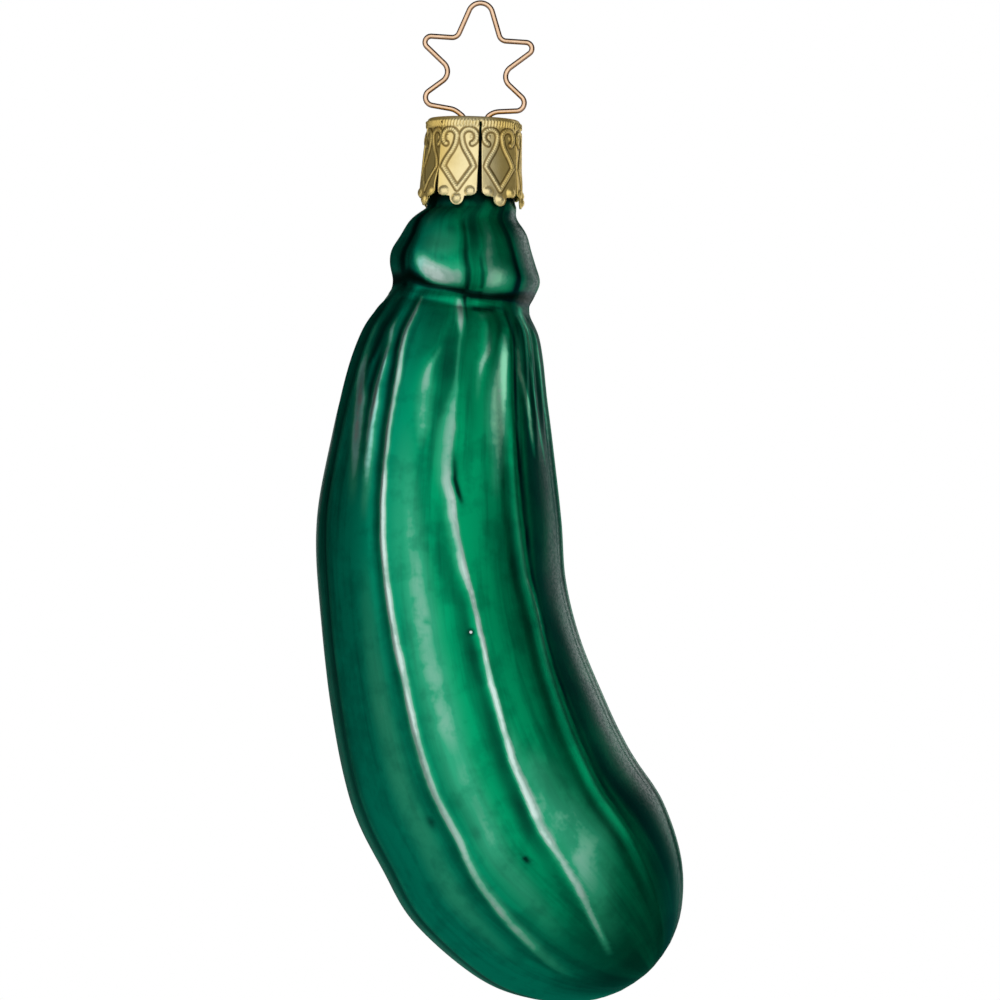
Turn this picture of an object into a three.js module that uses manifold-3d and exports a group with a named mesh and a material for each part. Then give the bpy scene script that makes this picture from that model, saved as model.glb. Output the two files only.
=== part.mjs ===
// Blown-glass zucchini ornament with a pressed crown cap and a star-shaped wire hanger.
// Millimetres, +Z up. The origin is the inside of the star's top bend, where a hook or a thread
// bears. The ornament hangs below it, and its curve lies in the XZ plane, seen from -Y.
import * as THREE from "three";
import { mergeVertices } from "three/addons/utils/BufferGeometryUtils.js";
import Module from "manifold-3d";

const wasm = await Module();
wasm.setup();
const { degToRad, lerp, smoothstep } = THREE.MathUtils;

// Star hanger: one length of spring wire bent to a five-pointed star with two legs. Its corners are
// sharp here and rounded with the bends below, and heights are above the star's feet.
const wireDiameter = 0.65;
const lowerArmHalf = 7.95; // half the width over the lower points
const lowerArmRise = 0.85;
const lowerArmBend = 1.05;
const waistHalf = 2.95;
const waistRise = 5;
const waistBend = 1.5;
const upperArmHalf = 8.35;
const upperArmRise = 9.55;
const upperArmBend = 0.8;
const crotchHalf = 2.85;
const crotchBend = 1;
const topRise = 17.35;
const topBend = 1.6;
const footHalf = 2.45; // where the star's feet turn down to the cap
const footRise = 0.1;
const footBend = 0.9;
const starLean = degToRad(3.8); // clockwise, seen from -Y
const legSpacing = 3; // between the two legs where they pass the cap
const legLength = 19; // below the top of the cap
const legSplay = 5; // depth below the cap's top at which the legs bear outwards
const legToe = 1; // inward hook at the end of each leg
const legClearance = 0.5; // between a leg and the wall of the neck
const legBend = 1.5;
const wireSides = 8;
const wireTurn = degToRad(24); // between two sections along a bend

// Crown cap: pressed from one round sheet, with seven petals folded down
const sheet = 0.3;
const capDrop = 0.9; // top of the cap below the star's feet
const capSide = -1; // axis of the cap and the neck, sideways from the hang point
const holesSide = 0.35; // middle of the two holes, sideways from the cap's axis
const holeClearance = 0.25;
const capHeight = 11.5; // down to the tips of the petals
const capShoulder = 0.55;
const petalCount = 7;
const petalTurn = degToRad(-17); // middle of the front petal, from the front towards +X
const petalFlare = 0.75; // how much the cap widens towards its foot
const slitStart = 0.7; // below the top of the cap
const slitTop = 0.22;
const slitFoot = 0.8;
const cornerRadius = 0.8; // foot corners of a petal
const tongueRadius = 0.95; // half-round tongue in the middle of a petal's foot
const tongueDrop = 1.15; // tip of the tongue below the petal's foot corners
const ribsPerPetal = 12;
const ribStart = 0.5; // below the top of the cap
const ribHeight = 0.95;
const ribDepth = 0.16;
const ribRoot = 0.03; // between the skirt and the bottoms between the ribs
const skirtFacets = 6; // of the skirt behind each petal
const cutMargin = 1; // by which a cut runs past what it cuts

// Relief of a petal: two scrolls whose stems close in a lozenge, and three domes
const beadWidth = 0.44;
const beadRise = 0.2;
const curlRadius = 1;
const curlDepth = 2.7; // middle of the curl below the top of the cap
const curlMargin = 0.3; // between the bead's middle and the edge of the petal
const curlStart = -Math.PI / 3; // free end of the curl, from its side
const scrollEase = 0.35; // how far the stem keeps its direction at either end
const lozengeMargin = 0.55;
const lozengeSide = 5; // side corners of the lozenge above the foot of the cap
const lozengeTip = 2.1;
const domeRadius = 0.62;
const domeRise = 0.3;
const domeInset = 0.85; // from the edges of the petal

// Glass: a neck in the cap, a fluted stem with a pinch under it, and the curved fruit
const neckDiameter = 9.2;
const neckClearance = 1.15; // between the neck and the inside of the cap
const neckGap = 0.3; // between the rim of the neck and the underside of the cap
const glassWall = 0.9;
const flareLength = 4.5; // above the foot of the cap, where the neck widens to the stem
const footClearance = 0.65; // between the stem and the petals at the foot of the cap
const depthShare = 0.95; // front-to-back thickness of the fruit against its width
const fluteCount = 5;
const fluteTurn = degToRad(0.5); // the groove at the front of the stem
const fluteDepth = 0.5;
const fluteSharpness = 0.7; // 1 for a plain wave, less for narrow grooves
const ridgeCount = 10;
const ridgeTurn = degToRad(-26.5); // one of the ridges, from the front towards +X
const ridgeDepth = 1; // from the crests to the bottoms between them
const pleatDepth = 0.45; // short folds between the ridges, under the pinch
const pleatLength = 26;
const ridgeFade = 9; // radius under which the ridges die away at the tip
const pinchDepth = 11.9; // below the foot of the cap
const pinchSoftness = 1.5;
const endLength = 23.1; // rounded blossom end, from the last station below to the tip
const endHeading = 44;
const endSections = [22, 42, 60, 75, 86]; // degrees from the last station towards the tip
// Stations of the stem and the fruit: sideways place, depth below the foot of the cap, radius over
// the crests, and heading in degrees from straight down towards +X
const stations = [
  [-2.3, 1.7, 6.85, -1.5],
  [-2.15, 4.2, 8.45, -4],
  [-2.2, 6.5, 9.55, -6.5],
  [-2.05, 8.4, 9.95, -7.5],
  [-2.2, 10.4, 9.4, -7],
  [-2.7, pinchDepth, 9.15, -7.5],
  [-2.85, 13, 9.65, -8.5],
  [-2.95, 15, 10.8, -9.5],
  [-3.55, 18, 12.05, -10],
  [-4.25, 22.9, 13.25, -8],
  [-4.85, 30, 14.65, -4.5],
  [-5.4, 40.2, 16.1, -0.5],
  [-5, 50, 16.35, 6],
  [-3.2, 60.6, 17.05, 14.5],
  [-0.25, 70.9, 18.15, 22],
  [2.95, 77.6, 18.2, 29],
  [5.9, 82.5, 18.2, 36.5],
];

// Worked out from the sizes above
const wireRadius = wireDiameter / 2;
const neckRadius = neckDiameter / 2;
const boreRadius = neckRadius - glassWall;
const capTopRadius = neckRadius + neckClearance + sheet;
const capFootRadius = capTopRadius + petalFlare;
const petalPitch = (2 * Math.PI) / petalCount;
const topHalfAngle = Math.atan(crotchHalf / (topRise - upperArmRise));
const topBendCentre = topRise - topBend / Math.sin(topHalfAngle);
const starFoot = onStar(0, 0).y;
const capTop = starFoot - capDrop;
const capFoot = capTop - capHeight;
const neckTop = capTop - sheet - neckGap;

// A closed solid through rings of points. A ring of one point closes an end in a tip, and any other
// end ring is closed with a fan.
function loft(rings) {
  const points = rings.flat();
  const starts = rings.map((ring, i) => rings.slice(0, i).flat().length);
  const triangles = [];
  for (let i = 0; i + 1 < rings.length; i++) {
    const count = Math.max(rings[i].length, rings[i + 1].length);
    const at = (ring, j) => starts[ring] + (rings[ring].length === 1 ? 0 : j % count);
    for (let j = 0; j < count; j++) {
      if (rings[i].length > 1) triangles.push(at(i, j), at(i, j + 1), at(i + 1, j));
      if (rings[i + 1].length > 1) triangles.push(at(i, j + 1), at(i + 1, j + 1), at(i + 1, j));
    }
  }
  const last = rings.length - 1;
  for (let j = 1; j + 1 < rings[0].length; j++) triangles.push(0, j + 1, j);
  for (let j = 1; j + 1 < rings[last].length; j++)
    triangles.push(starts[last], starts[last] + j, starts[last] + j + 1);
  return new THREE.BufferGeometry().setFromPoints(points).setIndex(triangles);
}

// A closed geometry as a solid for joining and cutting, turned so that its faces point out
function solid(geometry) {
  const bare = geometry.clone();
  bare.deleteAttribute("normal");
  bare.deleteAttribute("uv");
  const merged = mergeVertices(bare, 1e-4);
  const vertProperties = new Float32Array(merged.attributes.position.array);
  const triVerts = new Uint32Array(merged.index.array);
  const make = () => new wasm.Manifold(new wasm.Mesh({ numProp: 3, vertProperties, triVerts }));
  const made = make();
  if (made.volume() > 0) return made;
  triVerts.reverse();
  return make();
}

function geometryOf(made) {
  const mesh = made.getMesh();
  const geometry = new THREE.BufferGeometry();
  geometry.setAttribute("position", new THREE.BufferAttribute(mesh.vertProperties, 3));
  geometry.setIndex(new THREE.BufferAttribute(mesh.triVerts, 1));
  return geometry;
}

// A point of the star, given sideways from its middle line and above its feet
function onStar(side, rise) {
  const turned = new THREE.Vector2(side, rise - topBendCentre).rotateAround({ x: 0, y: 0 }, -starLean);
  return turned.sub(new THREE.Vector2(0, topBend - wireRadius));
}

// Points along straight runs whose corners are rounded. Each corner is a point and a bend radius, and
// two bends that don't fit on the run between them are both drawn tighter.
function roundedLine(corners, turnPerStep) {
  const bends = corners.slice(1, -1).map(([corner, radius], i) => {
    const back = corners[i][0].clone().sub(corner);
    const on = corners[i + 2][0].clone().sub(corner);
    const half = Math.acos(back.dot(on) / back.length() / on.length()) / 2;
    return { corner, back, on, half, reach: radius / Math.tan(half) };
  });
  const fit = (bend, other, run) => Math.min(1, (0.96 * run.length()) / (bend.reach + (other?.reach ?? 0)));
  const points = [corners[0][0]];
  bends.forEach((bend, i) => {
    const { corner, back, on, half } = bend;
    const reach = bend.reach * Math.min(fit(bend, bends[i - 1], back), fit(bend, bends[i + 1], on));
    const radius = reach * Math.tan(half);
    const from = back.clone().setLength(reach);
    const to = on.clone().setLength(reach);
    const toCentre = from.clone().add(to).setLength(radius / Math.sin(half));
    const centre = corner.clone().add(toCentre);
    from.sub(toCentre);
    to.sub(toCentre);
    const clockwise = from.cross(to) < 0;
    const arc = new THREE.EllipseCurve(
      centre.x, centre.y, radius, radius, from.angle(), to.angle(), clockwise,
    );
    points.push(...arc.getPoints(Math.max(1, Math.ceil((Math.PI - 2 * half) / turnPerStep))));
  });
  points.push(corners.at(-1)[0]);
  return points;
}

function starHanger() {
  const halfOfStar = (s) => [
    [onStar(s * footHalf, footRise), footBend],
    [onStar(s * lowerArmHalf, lowerArmRise), lowerArmBend],
    [onStar(s * waistHalf, waistRise), waistBend],
    [onStar(s * upperArmHalf, upperArmRise), upperArmBend],
    [onStar(s * crotchHalf, upperArmRise), crotchBend],
  ];
  const leg = (s) => {
    const hole = capSide + holesSide + (s * legSpacing) / 2;
    const wall = capSide + s * (boreRadius - legClearance - wireRadius);
    const at = (x, depth) => new THREE.Vector2(x, capTop - depth);
    return [
      [at(wall - s * legToe, legLength), 0],
      [at(wall, legLength - legToe), legBend / 2],
      [at(wall, legSplay), legBend],
      [at(hole, sheet + neckGap), legBend],
      [at(hole, -wireRadius), legBend / 2],
    ];
  };
  const corners = [
    ...leg(-1),
    ...halfOfStar(-1),
    [onStar(0, topRise), topBend],
    ...halfOfStar(1).reverse(),
    ...leg(1).reverse(),
  ];
  const line = roundedLine(corners, wireTurn);
  const rings = line.map((p, i) => {
    const back = line[Math.max(i - 1, 0)];
    const on = line[Math.min(i + 1, line.length - 1)];
    const across = on.clone().sub(back).normalize();
    across.set(-across.y, across.x);
    return Array.from({ length: wireSides }, (_, k) => {
      const angle = (2 * Math.PI * (k + 0.5)) / wireSides;
      const q = p.clone().addScaledVector(across, wireRadius * Math.cos(angle));
      return new THREE.Vector3(q.x, wireRadius * Math.sin(angle), q.y);
    });
  });
  return geometryOf(solid(loft(rings)));
}

// Outer radius of the cap's skirt, and half the width of a petal along it, at a depth below its top
function skirtRadius(depth) {
  const share = (depth - capShoulder) / (capHeight - capShoulder);
  return capTopRadius + petalFlare * THREE.MathUtils.clamp(share, 0, 1);
}
function petalHalf(depth) {
  const slit = lerp(slitTop, slitFoot, (depth - slitStart) / (capHeight - slitStart));
  return (skirtRadius(depth) * petalPitch - slit) / 2;
}

// A point of a petal: along the skirt from the petal's middle, below the cap's top, and out from it
function onPetal(petal, along, depth, out) {
  const angle = petalTurn + petal * petalPitch + along / skirtRadius(depth);
  const radius = skirtRadius(depth) + out;
  return new THREE.Vector3(
    capSide + radius * Math.sin(angle), -radius * Math.cos(angle), capTop - depth,
  );
}

function capShell() {
  const top = capTop - capShoulder;
  const corner = capTopRadius - capShoulder;
  const profile = new THREE.Path();
  profile.moveTo(0, capTop - sheet);
  profile.absarc(corner, top, capShoulder - sheet, Math.PI / 2, 0, true);
  profile.lineTo(capFootRadius - sheet, capFoot);
  profile.lineTo(capFootRadius, capFoot);
  profile.absarc(corner, top, capShoulder, 0, Math.PI / 2, false);
  profile.lineTo(0, capTop);
  const line = profile.getPoints(1);
  line[0].set(0, capTop - sheet);
  const turned = new THREE.LatheGeometry(line, petalCount * skirtFacets);
  return solid(turned.rotateX(Math.PI / 2).translate(capSide, 0, 0));
}

// Milled band round the top of the skirt
function ribBand() {
  const count = petalCount * ribsPerPetal;
  const inner = capTopRadius - sheet / 2;
  const root = skirtRadius(ribStart + ribHeight) + ribRoot;
  const teeth = Array.from({ length: 2 * count }, (_, i) => {
    const radius = root + (i % 2 ? 0 : ribDepth);
    return new THREE.Vector2(radius, 0).rotateAround({ x: 0, y: 0 }, (Math.PI * i) / count);
  });
  const shape = new THREE.Shape(teeth);
  shape.holes.push(new THREE.Path().absarc(0, 0, inner, 0, 2 * Math.PI, true));
  const band = new THREE.ExtrudeGeometry(shape, { depth: ribHeight, bevelEnabled: false, curveSegments: 12 });
  return solid(band.translate(capSide, 0, capTop - ribStart - ribHeight));
}

// What is cut away between two petals: the slit, the rounded corners and the hollows beside the
// half-round tongues
function slitCutter(petal) {
  const half = capFootRadius * Math.sin(petalPitch / 2);
  const edge = capFoot + tongueDrop;
  const tongueMiddle = capFoot + tongueRadius;
  const meet = Math.asin(THREE.MathUtils.clamp((edge - tongueMiddle) / tongueRadius, -1, 1));
  const side = slitFoot / 2 + cornerRadius;
  const shape = new THREE.Shape();
  shape.moveTo(-slitTop / 2, capTop - slitStart);
  shape.absarc(-side, edge + cornerRadius, cornerRadius, 0, -Math.PI / 2, true);
  shape.absarc(-half, tongueMiddle, tongueRadius, meet, -Math.PI / 2, true);
  shape.lineTo(-half, capFoot - cutMargin);
  shape.lineTo(half, capFoot - cutMargin);
  shape.absarc(half, tongueMiddle, tongueRadius, -Math.PI / 2, -Math.PI - meet, true);
  shape.absarc(side, edge + cornerRadius, cornerRadius, -Math.PI / 2, -Math.PI, true);
  shape.lineTo(slitTop / 2, capTop - slitStart);
  const cutter = new THREE.ExtrudeGeometry(shape, {
    depth: capFootRadius + cutMargin,
    bevelEnabled: false,
    curveSegments: 3,
  });
  cutter.rotateX(Math.PI / 2).rotateZ(petalTurn + (petal + 0.5) * petalPitch);
  return solid(cutter.translate(capSide, 0, 0));
}

// One scroll of a petal's relief, from its curl down to the tip of the lozenge
function scroll(petal, s) {
  const curlSide = petalHalf(curlDepth) - curlMargin - curlRadius;
  const sideDepth = capHeight - lozengeSide;
  const side = petalHalf(sideDepth) - lozengeMargin;
  const neck = curlSide - curlRadius;
  const path = new THREE.Path();
  path.absarc(curlSide, -curlDepth, curlRadius, curlStart, Math.PI, false);
  path.bezierCurveTo(
    neck, lerp(-curlDepth, -sideDepth, scrollEase),
    lerp(side, neck, scrollEase), lerp(-sideDepth, -curlDepth, scrollEase),
    side, -sideDepth,
  );
  path.lineTo(0, lozengeTip - capHeight);
  const line = path.getPoints(4);
  const rings = line.map((p, i) => {
    const on = line[Math.min(i + 1, line.length - 1)];
    const across = on.clone().sub(line[Math.max(i - 1, 0)]).normalize();
    across.set(-across.y, across.x).multiplyScalar(beadWidth / 2);
    const at = (share, out) => {
      const q = p.clone().addScaledVector(across, share);
      return onPetal(petal, s * q.x, -q.y, out);
    };
    return [at(-1, -sheet / 2), at(-0.5, beadRise), at(0.5, beadRise), at(1, -sheet / 2)];
  });
  return solid(loft(rings));
}

// A low round boss on a petal, no deeper than its sheet
function dome(petal, along, depth) {
  const ball = new THREE.SphereGeometry(domeRadius, 6, 4).rotateX(Math.PI / 2);
  ball.scale(1, 1, domeRise / domeRadius).rotateX(Math.PI / 2);
  const place = onPetal(petal, along, depth, 0);
  ball.rotateZ(petalTurn + petal * petalPitch + along / skirtRadius(depth));
  return solid(ball.translate(place.x, place.y, place.z));
}

function petalRelief(petal) {
  const footCorner = capHeight - tongueDrop;
  const domeSide = petalHalf(footCorner) - domeInset;
  const pieces = [dome(petal, 0, capHeight - tongueRadius)];
  for (const s of [-1, 1]) {
    pieces.push(scroll(petal, s));
    pieces.push(dome(petal, s * domeSide, footCorner - domeInset));
  }
  return pieces;
}

function crownCap() {
  let cap = capShell().add(ribBand());
  for (let petal = 0; petal < petalCount; petal++) {
    for (const relief of petalRelief(petal)) cap = cap.add(relief);
  }
  for (let petal = 0; petal < petalCount; petal++) cap = cap.subtract(slitCutter(petal));
  for (const s of [-1, 1]) {
    const hole = new THREE.CylinderGeometry(1, 1, 4 * sheet, 12).rotateX(Math.PI / 2);
    hole.scale(wireRadius + holeClearance, wireRadius + holeClearance, 1);
    hole.translate(capSide + holesSide + (s * legSpacing) / 2, 0, capTop);
    cap = cap.subtract(solid(hole));
  }
  return geometryOf(cap);
}

// The stations with the top of the stem before them and the rounded end after them, drawn in by the
// thickness of the wall for the inside
function glassStations(inset) {
  const [lastSide, lastDepth, lastRadius] = stations.at(-1);
  const ends = endSections.map((degrees) => {
    const reach = (endLength - inset) * Math.sin(degToRad(degrees));
    const heading = degToRad(endHeading);
    const radius = (lastRadius - inset) * Math.cos(degToRad(degrees));
    return [lastSide + reach * Math.sin(heading), lastDepth + reach * Math.cos(heading), radius, endHeading];
  });
  const top = [capSide - footClearance / 3, 0, capFootRadius - sheet - footClearance, 0];
  const drawnIn = [top, ...stations].map(([side, depth, radius, heading]) => {
    return [side, depth, radius - inset, heading];
  });
  return [...drawnIn, ...ends];
}

// How far the surface lies below the crests, at an angle round the glass
function relief(angle, depth, radius) {
  const fruit = smoothstep(depth, pinchDepth - pinchSoftness / 2, pinchDepth + 2 * pinchSoftness);
  const stem = smoothstep(depth, 0, pinchDepth / 2) * (1 - fruit);
  const flute = 1 - Math.abs(Math.sin(((angle - fluteTurn) * fluteCount) / 2)) ** fluteSharpness;
  const ridge = Math.abs(Math.sin(((angle - ridgeTurn) * ridgeCount) / 2));
  const pleat = (1 - Math.cos((angle - ridgeTurn) * ridgeCount * 2)) / 2;
  const short = 1 - smoothstep(depth, pinchDepth + pleatLength / 4, pinchDepth + pleatLength);
  const round = smoothstep(radius, 0, ridgeFade);
  return stem * fluteDepth * flute + fruit * round * (ridgeDepth * ridge + short * pleatDepth * pleat);
}

function glassForm(inset, around, steps) {
  const rows = glassStations(inset);
  const curveOf = (points) => new THREE.CatmullRomCurve3(points, false, "catmullrom", 0.5);
  const centres = curveOf(rows.map(([side, depth]) => new THREE.Vector3(side, 0, capFoot - depth)));
  const sizes = curveOf(rows.map(([, , radius, heading]) => new THREE.Vector3(radius, degToRad(heading), 0)));
  const ring = (centre, radius, heading, depth) =>
    Array.from({ length: around }, (_, k) => {
      const angle = ridgeTurn + (2 * Math.PI * k) / around;
      const drop = inset ? 0 : relief(angle, depth, radius);
      const flat = lerp(1, depthShare, smoothstep(depth, 0, 2 * pinchDepth));
      const across = (radius - drop) * Math.sin(angle);
      return new THREE.Vector3(
        centre.x + across * Math.cos(heading),
        -(radius - drop) * flat * Math.cos(angle),
        centre.z + across * Math.sin(heading),
      );
    });
  const count = (rows.length - 1) * steps;
  const rings = Array.from({ length: count + 1 }, (_, i) => {
    const centre = centres.getPoint(i / count);
    const size = sizes.getPoint(i / count);
    return ring(centre, size.x, size.y, capFoot - centre.z);
  });
  const tube = inset ? boreRadius : neckRadius;
  const neck = (height) => ring(new THREE.Vector3(capSide, 0, height), tube, 0, -1);
  const [lastSide, lastDepth] = stations.at(-1);
  const heading = degToRad(endHeading);
  const tip = new THREE.Vector3(
    lastSide + (endLength - inset) * Math.sin(heading), 0,
    capFoot - lastDepth - (endLength - inset) * Math.cos(heading),
  );
  return solid(loft([neck(neckTop + (inset ? cutMargin : 0)), neck(capFoot + flareLength), ...rings, [tip]]));
}

function glassBody() {
  const outside = glassForm(0, 4 * ridgeCount, 2);
  const inside = glassForm(glassWall + ridgeDepth, 2 * ridgeCount, 1);
  return geometryOf(outside.subtract(inside));
}

const brass = new THREE.MeshStandardMaterial({ color: 0xc9a94f, roughness: 0.35, metalness: 1 });
const wireMetal = new THREE.MeshStandardMaterial({ color: 0xc99a6b, roughness: 0.3, metalness: 1 });
const lacqueredGlass = new THREE.MeshStandardMaterial({ color: 0x066b45, roughness: 0.3, metalness: 0.6 });

const ornament = new THREE.Group();
const addPart = (name, geometry, material) => {
  const mesh = new THREE.Mesh(geometry, material);
  mesh.name = name;
  ornament.add(mesh);
};
addPart("star_hanger", starHanger(), wireMetal);
addPart("crown_cap", crownCap(), brass);
addPart("glass_body", glassBody(), lacqueredGlass);

export default ornament;
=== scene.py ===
import math

import bmesh
import bpy
import numpy as np
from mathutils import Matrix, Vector, noise


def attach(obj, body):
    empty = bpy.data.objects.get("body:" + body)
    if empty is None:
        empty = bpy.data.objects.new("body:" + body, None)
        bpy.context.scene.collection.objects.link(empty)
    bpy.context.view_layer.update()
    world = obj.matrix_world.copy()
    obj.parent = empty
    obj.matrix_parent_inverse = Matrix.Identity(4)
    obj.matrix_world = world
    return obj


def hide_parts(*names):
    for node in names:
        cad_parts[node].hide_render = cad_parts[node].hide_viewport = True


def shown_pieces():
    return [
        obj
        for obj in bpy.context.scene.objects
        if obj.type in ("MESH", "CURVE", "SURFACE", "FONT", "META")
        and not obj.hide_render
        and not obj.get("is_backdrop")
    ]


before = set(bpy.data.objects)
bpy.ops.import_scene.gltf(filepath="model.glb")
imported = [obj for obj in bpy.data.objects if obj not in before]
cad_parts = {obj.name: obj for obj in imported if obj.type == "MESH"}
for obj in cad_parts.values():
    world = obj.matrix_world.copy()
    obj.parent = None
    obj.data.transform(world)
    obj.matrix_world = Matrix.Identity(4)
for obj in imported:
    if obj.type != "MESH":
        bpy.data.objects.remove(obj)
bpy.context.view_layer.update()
mm = 0.001
print("frame loaded")


# small helpers for numbers


def smoothStep(value, low, high):
    share = np.clip((np.asarray(value, float) - low) / (high - low), 0, 1)
    return share * share * (3 - 2 * share)


def blend(low, high, share):
    return low + (high - low) * share


def bell(away, half):
    return np.exp(-(away / half) ** 2)


def dome(away):
    # height of a round dome of radius 1
    return np.sqrt(np.clip(1 - away ** 2, 0, 1))


def grow(value, row):
    # a row holds a strength and the two places between which it grows from nothing
    strength, low, high = row
    return strength * smoothStep(value, low, high)


def fall(value, row):
    # the same row, falling to nothing instead
    return row[0] - grow(value, row)


def between(depth, first, last, soft):
    return float(smoothStep(depth, first - soft / 2, first + soft / 2)
                 * (1 - smoothStep(depth, last - soft / 2, last + soft / 2)))


def splineThrough(rows, steps):
    # uniform Catmull-Rom through rows of numbers; steps gives the cuts of each span
    rows = np.asarray(rows, float)
    first, last = 2 * rows[0] - rows[1], 2 * rows[-1] - rows[-2]
    knots = np.vstack([first, rows, last])
    made = []
    for span, cuts in enumerate(steps):
        a, b, c, d = knots[span:span + 4]
        for cut in range(cuts):
            t = cut / cuts
            made.append(b + 0.5 * t * (c - a + t * (2 * a - 5 * b + 4 * c - d + t * (3 * (b - c) + d - a))))
    made.append(rows[-1])
    return np.array(made)


# small helpers for meshes


def startRing(bm, count, column):
    # ring of loose edges whose vertices remember their column
    verts = bmesh.ops.create_circle(bm, segments=count, radius=1)["verts"]
    for k, vert in enumerate(verts):
        vert[column] = k
    return verts, list(bm.edges)


def growRing(bm, edges):
    made = bmesh.ops.extrude_edge_only(bm, edges=edges)["geom"]
    verts = [item for item in made if isinstance(item, bmesh.types.BMVert)]
    fresh = set(verts)
    rims = [item for item in made if isinstance(item, bmesh.types.BMEdge) and fresh.issuperset(item.verts)]
    return verts, rims


def finishPiece(bm, name, material, body, node):
    bmesh.ops.scale(bm, vec=(mm, mm, mm), verts=bm.verts)
    mesh = bpy.data.meshes.new(name)
    bm.to_mesh(mesh)
    bm.free()
    mesh.shade_smooth()
    piece = bpy.data.objects.new(name, mesh)
    bpy.context.scene.collection.objects.link(piece)
    mesh.materials.append(material)
    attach(piece, body)
    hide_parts(node)
    return piece


# small helpers for materials


def setInputs(tree, node, values):
    for name, value in values.items():
        if isinstance(value, bpy.types.NodeSocket):
            tree.links.new(value, node.inputs[name])
        else:
            node.inputs[name].default_value = value


def placeNode(tree, kind, inputs=None, **settings):
    node = tree.nodes.new("ShaderNode" + kind)
    for name, value in settings.items():
        setattr(node, name, value)
    setInputs(tree, node, inputs or {})
    return node


def mathOf(tree, operation, *values):
    return placeNode(tree, "Math", dict(enumerate(values)), operation=operation).outputs[0]


def mapTo(tree, value, fromLow, fromHigh, toLow=0.0, toHigh=1.0, smooth=True):
    kind = "SMOOTHSTEP" if smooth else "LINEAR"
    inputs = {0: value, 1: fromLow, 2: fromHigh, 3: toLow, 4: toHigh}
    return placeNode(tree, "MapRange", inputs, interpolation_type=kind).outputs[0]


def mixOf(tree, share, low, high):
    return placeNode(tree, "Mix", {0: share, 6: low, 7: high}, data_type="RGBA").outputs[2]


def mixValue(tree, share, low, high):
    return placeNode(tree, "Mix", {0: share, 2: low, 3: high}, data_type="FLOAT").outputs[0]


def noiseOf(tree, vector, scale, detail=2.0, rough=0.5):
    inputs = {"Vector": vector, "Scale": scale, "Detail": detail, "Roughness": rough}
    return placeNode(tree, "TexNoise", inputs).outputs["Fac"]


def stretched(tree, vector, scale):
    return placeNode(tree, "Mapping", {0: vector, 3: scale}).outputs[0]


def bumpOf(tree, height, strength, distance):
    inputs = {"Height": height, "Strength": strength, "Distance": distance * mm}
    return placeNode(tree, "Bump", inputs).outputs[0]


def attributeOf(tree, name, output="Vector"):
    return placeNode(tree, "Attribute", attribute_name=name).outputs[output]


def partsOf(tree, vector):
    return placeNode(tree, "SeparateXYZ", {0: vector}).outputs


def objectPlace(tree):
    return placeNode(tree, "TexCoord").outputs["Object"]


def newMaterial(name):
    material = bpy.data.materials.new(name)
    material.use_nodes = True
    tree = material.node_tree
    tree.nodes.clear()
    out = placeNode(tree, "OutputMaterial")
    shader = placeNode(tree, "BsdfPrincipled")
    tree.links.new(shader.outputs[0], out.inputs["Surface"])
    return material, tree, shader


def buildGrain():
    # fine grain shared by the lacquer, the cap and the wire: a height and a mask
    tree = bpy.data.node_groups.new("fineGrain", "ShaderNodeTree")
    tree.interface.new_socket("Place", in_out="INPUT", socket_type="NodeSocketVector")
    tree.interface.new_socket("Coarse", in_out="INPUT", socket_type="NodeSocketFloat")
    tree.interface.new_socket("Fine", in_out="INPUT", socket_type="NodeSocketFloat")
    tree.interface.new_socket("Height", in_out="OUTPUT", socket_type="NodeSocketFloat")
    tree.interface.new_socket("Mask", in_out="OUTPUT", socket_type="NodeSocketFloat")
    entry = tree.nodes.new("NodeGroupInput")
    leave = tree.nodes.new("NodeGroupOutput")
    coarse = noiseOf(tree, entry.outputs["Place"], entry.outputs["Coarse"], 1.0)
    fine = noiseOf(tree, entry.outputs["Place"], entry.outputs["Fine"], 0.0)
    height = mathOf(tree, "MULTIPLY_ADD", coarse, 0.5, mathOf(tree, "MULTIPLY", fine, 0.5))
    tree.links.new(height, leave.inputs["Height"])
    tree.links.new(mapTo(tree, coarse, 0.35, 0.65), leave.inputs["Mask"])
    return tree


grainGroup = buildGrain()


def grainOf(tree, place, coarse, fine):
    inputs = {"Place": place, "Coarse": coarse, "Fine": fine}
    return placeNode(tree, "Group", inputs, node_tree=grainGroup)


# camera, floor and light

studio = {
    "cameraPlace": (2.535 * mm, -0.6, -64.3 * mm),
    "lens": 166.15,
    "clipStart": 0.01,
    "target": (0.0, 0.0, -0.065),
    "floorRadius": 4.5,
    "floorSides": 96,
    "floorHeight": -0.45,
    "floorColour": (0.80, 0.80, 0.79, 1),
    "floorRoughness": 0.8,
    "floorFade": (0.5, 1.6),          # distances between which the floor fades to white
    "fillLight": 0.30,
    "darkSide": 0.03,                 # what shiny parts see away from the backdrop
    "backdropEdge": (0.94, 0.985),    # where the backdrop begins and is white, as a share of straight ahead
    # azimuth from the front towards +X, elevation, distance, width, height and radiance
    "lights": {
        "softBox": (-9, 15, 1.2, 3.5, 1.8, 1.0),
        "rightRim": (135, 4, 1.0, 0.4, 0.9, 1.4),
    },
}


def placeCamera():
    camera = bpy.data.objects.new("camera", bpy.data.cameras.new("camera"))
    camera.location = studio["cameraPlace"]
    camera.rotation_euler = (math.radians(90), 0, 0)
    camera.data.lens = studio["lens"]
    camera.data.clip_start = studio["clipStart"]
    bpy.context.scene.collection.objects.link(camera)
    bpy.context.scene.camera = camera


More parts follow.
